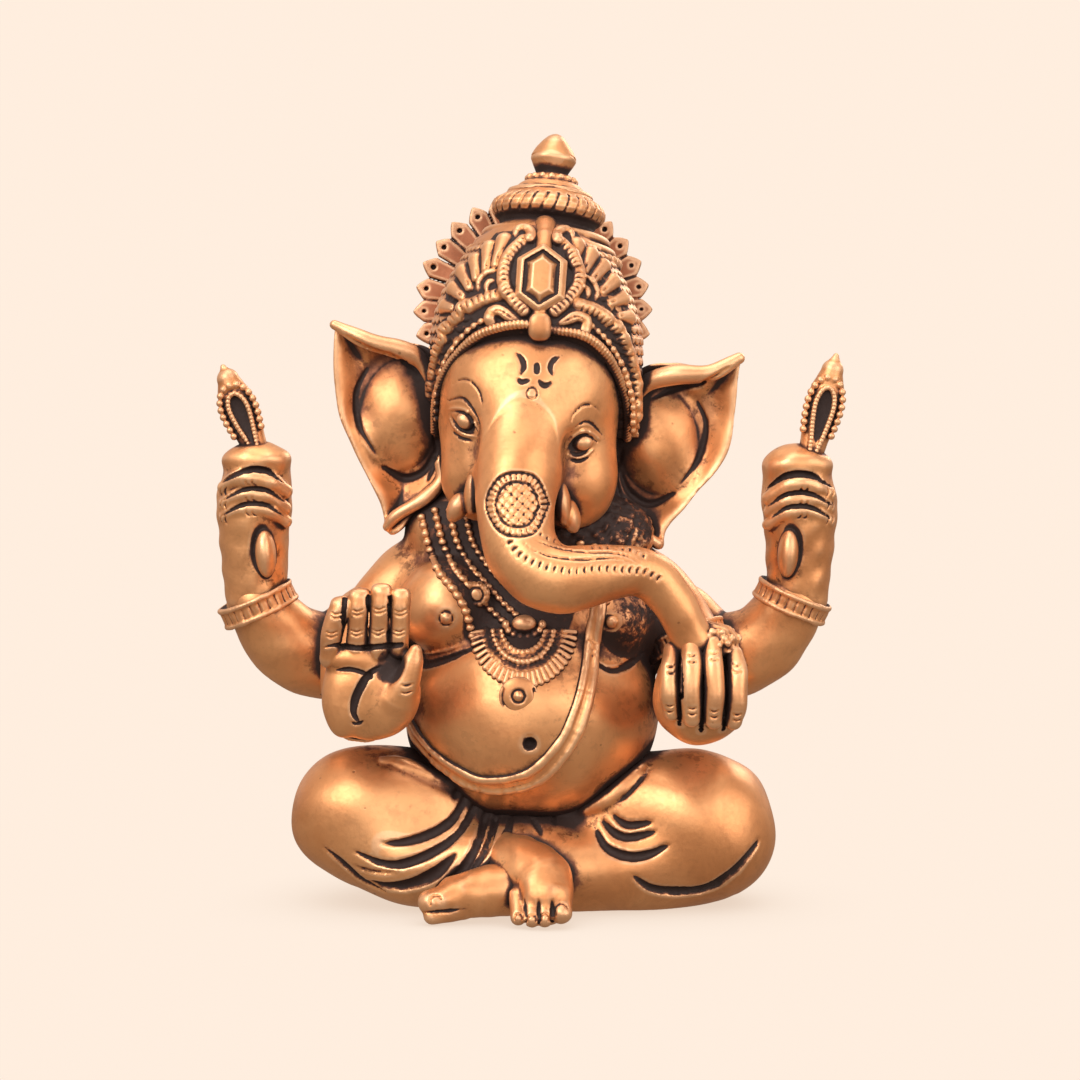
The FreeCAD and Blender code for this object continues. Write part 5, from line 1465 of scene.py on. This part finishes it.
TORSO = torso()
CLAYS = {"torso": TORSO, "crown": crown()}
CLAYS |= {
    "seat": seat(),
    "right_foot": foot(True),
    "left_foot": foot(False),
    "head": head(),
    "right_tusk": tusk(-1),
    "left_tusk": tusk(1),
    "right_ear": ear(-1),
    "left_ear": ear(1),
    "crown_band": crown_band(),
    "crown_jewel": crown_jewel(),
    "crown_ring": crown_ring(),
    "crown_cone": crown_cone(),
    "crown_finial": crown_finial(),
    "halo_disc": halo_disc(),
    "sash": sash(),
    "necklace": necklace(),
    "collar": collar(),
    "pendant": pendant(),
    "right_front_arm": arm(RIGHT_ARM, (-66, -50, 46), (-30, 14, 98)),
    "left_front_arm": arm(LEFT_ARM, (30, -50, 46), (68, 14, 94)),
    "right_rear_arm": arm(RIGHT_REAR, (-94, -14, 54), (-12, 30, 108)),
    "left_rear_arm": arm(LEFT_REAR, (12, -14, 54), (92, 30, 108)),
    "right_armlet": ring_piece((-45.6, -2.6, 80.6), (-5, -4, -13), 11.9, 5.0, 1.3, 26, 0.34),
    "left_armlet": ring_piece((47.4, -2.6, 76.2), (5, -3, -12.5), 11.7, 5.0, 1.3, 26, 0.34),
    "right_front_bangle": ring_piece((-47.3, -31, 61.2), (2, -11, 0.3), 9.2, 5.6, 1.7, 24, 0.4),
    "left_front_bangle": ring_piece((51.2, -29.6, 61.0), (-1, -11, 0), 9.2, 5.6, 1.7, 24, 0.4),
    "right_rear_bangle": ring_piece((-80.9, 0.6, 87.4), (-4.5, -1.0, 10.5), 9.8, 5.2, 1.9, 26, 0.42),
    "left_rear_bangle": ring_piece((79.6, 0.6, 88.4), (4.5, -1.0, 10.5), 9.6, 5.0, 1.9, 26, 0.42),
    "right_front_hand": palm_hand(),
    "left_front_hand": sweet_hand(),
    "sweet": sweet(),
    "right_rear_hand": fist(-1),
    "left_rear_hand": fist(1),
    "goad": held(-1),
    "noose": held(1),
    "core_plug": plug(),
}

ROOM = Room((-98, -72, -4), (98, 46, 232), 0.9)
for clay in CLAYS.values():
    ROOM.fill(clay)
ROOM.settle()

FINISHES = {
    "polished_brass": brass("polished brass", (0.89, 0.445, 0.195), (0.74, 0.32, 0.125),
                            (0.035, 0.018, 0.015), 0.02, 0.37),
    "chased_brass": brass("chased brass", (0.82, 0.395, 0.17), (0.66, 0.28, 0.11), (0.035, 0.018, 0.015),
                          0.10, 0.40),
    "dark_brass": brass("dark brass", (0.40, 0.15, 0.075), (0.28, 0.10, 0.05), (0.03, 0.016, 0.014), 0.14,
                        0.45),
    "plug_brass": brass("plug brass", (0.62, 0.40, 0.20), (0.52, 0.30, 0.14), (0.05, 0.03, 0.02), 0.1, 0.5),
}
SLOTS = {row["node"]: row["material_slot"] for row in frame["record"]["subparts"]}

for node, clay in CLAYS.items():
    piece = mesh(f"{node}_sculpt", clay, ROOM)
    piece.data.materials.append(FINISHES[SLOTS[node]])
    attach(piece, "root")
    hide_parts(node)
    clay.d = None


# ---- floor, light and camera ----


def studio():
    """A glowing pale floor with a soft painted contact shadow, and a pale world round it."""
    bpy.ops.mesh.primitive_plane_add(size=40)
    floor = bpy.context.object
    floor.name = "studio_floor"
    material = bpy.data.materials.new("studio floor")
    material.use_nodes = True
    n = Nodes(material.node_tree)
    near = n.make("ShaderNodeAmbientOcclusion", samples=8)
    near.inputs["Distance"].default_value = 0.035
    seen = n.make("ShaderNodeLightPath").outputs["Is Camera Ray"]
    # painted shadow: ambient occlusion from the idol darkens the floor's glow into a soft contact shadow
    pale = n.mix(n.remap(near.outputs["AO"], 0.0, 1.0), (0.80, 0.64, 0.52), BACKDROP)
    glow = n.make("ShaderNodeEmission")
    n.join(n.mix(seen, (0.30, 0.24, 0.19), pale), glow.inputs["Color"])
    n.join(glow.outputs[0], n.make("ShaderNodeOutputMaterial").inputs["Surface"])
    floor.data.materials.append(material)
    world = bpy.context.scene.world or bpy.data.worlds.new("studio")
    bpy.context.scene.world = world
    world.use_nodes = True
    n = Nodes(world.node_tree)
    path = n.make("ShaderNodeLightPath").outputs["Is Camera Ray"]
    sky = n.make("ShaderNodeBackground")
    n.join(n.mix(path, (0.64, 0.555, 0.51), BACKDROP), sky.inputs["Color"])
    n.join(sky.outputs[0], n.make("ShaderNodeOutputWorld").inputs["Surface"])


def softbox(name, place, aim, size, power, tint=(1, 0.97, 0.93)):
    data = bpy.data.lights.new(name, "AREA")
    data.shape, data.size, data.energy, data.color = "DISK", size, power, tint
    lamp = bpy.data.objects.new(name, data)
    lamp.location = place
    lamp.rotation_euler = (Vector(aim) - Vector(place)).to_track_quat("-Z", "Y").to_euler()
    bpy.context.scene.collection.objects.link(lamp)


def camera():
    """A long lens just above the idol's middle, looking slightly down."""
    lens, back, side, up, down = 80.6, 0.725, 0.0039, 0.140, 2.63
    data = bpy.data.cameras.new("camera")
    data.sensor_width, data.lens = 36, lens
    eye = bpy.data.objects.new("camera", data)
    home = HOME * MM
    eye.location = (home[0] + side, home[1] - back, up)
    eye.rotation_euler = (math.radians(90 - down), 0, 0)
    bpy.context.scene.collection.objects.link(eye)
    bpy.context.scene.camera = eye


studio()
softbox("key", (-0.60, -0.75, 0.75), (0, 0, 0.11), 0.9, 8.6)
softbox("fill", (0.85, -0.65, 0.45), (0, 0, 0.11), 1.0, 5.0)
softbox("front", (0.05, -1.3, 0.35), (0, 0, 0.11), 0.9, 2.5)
softbox("top", (0.0, -0.1, 1.1), (0, 0, 0.1), 0.9, 4.5)
softbox("rim", (0.5, 0.7, 0.6), (0, 0, 0.13), 0.5, 2.0)
camera()
bpy.context.scene.view_settings.view_transform = "Standard"
bpy.context.scene.view_settings.look = "None"
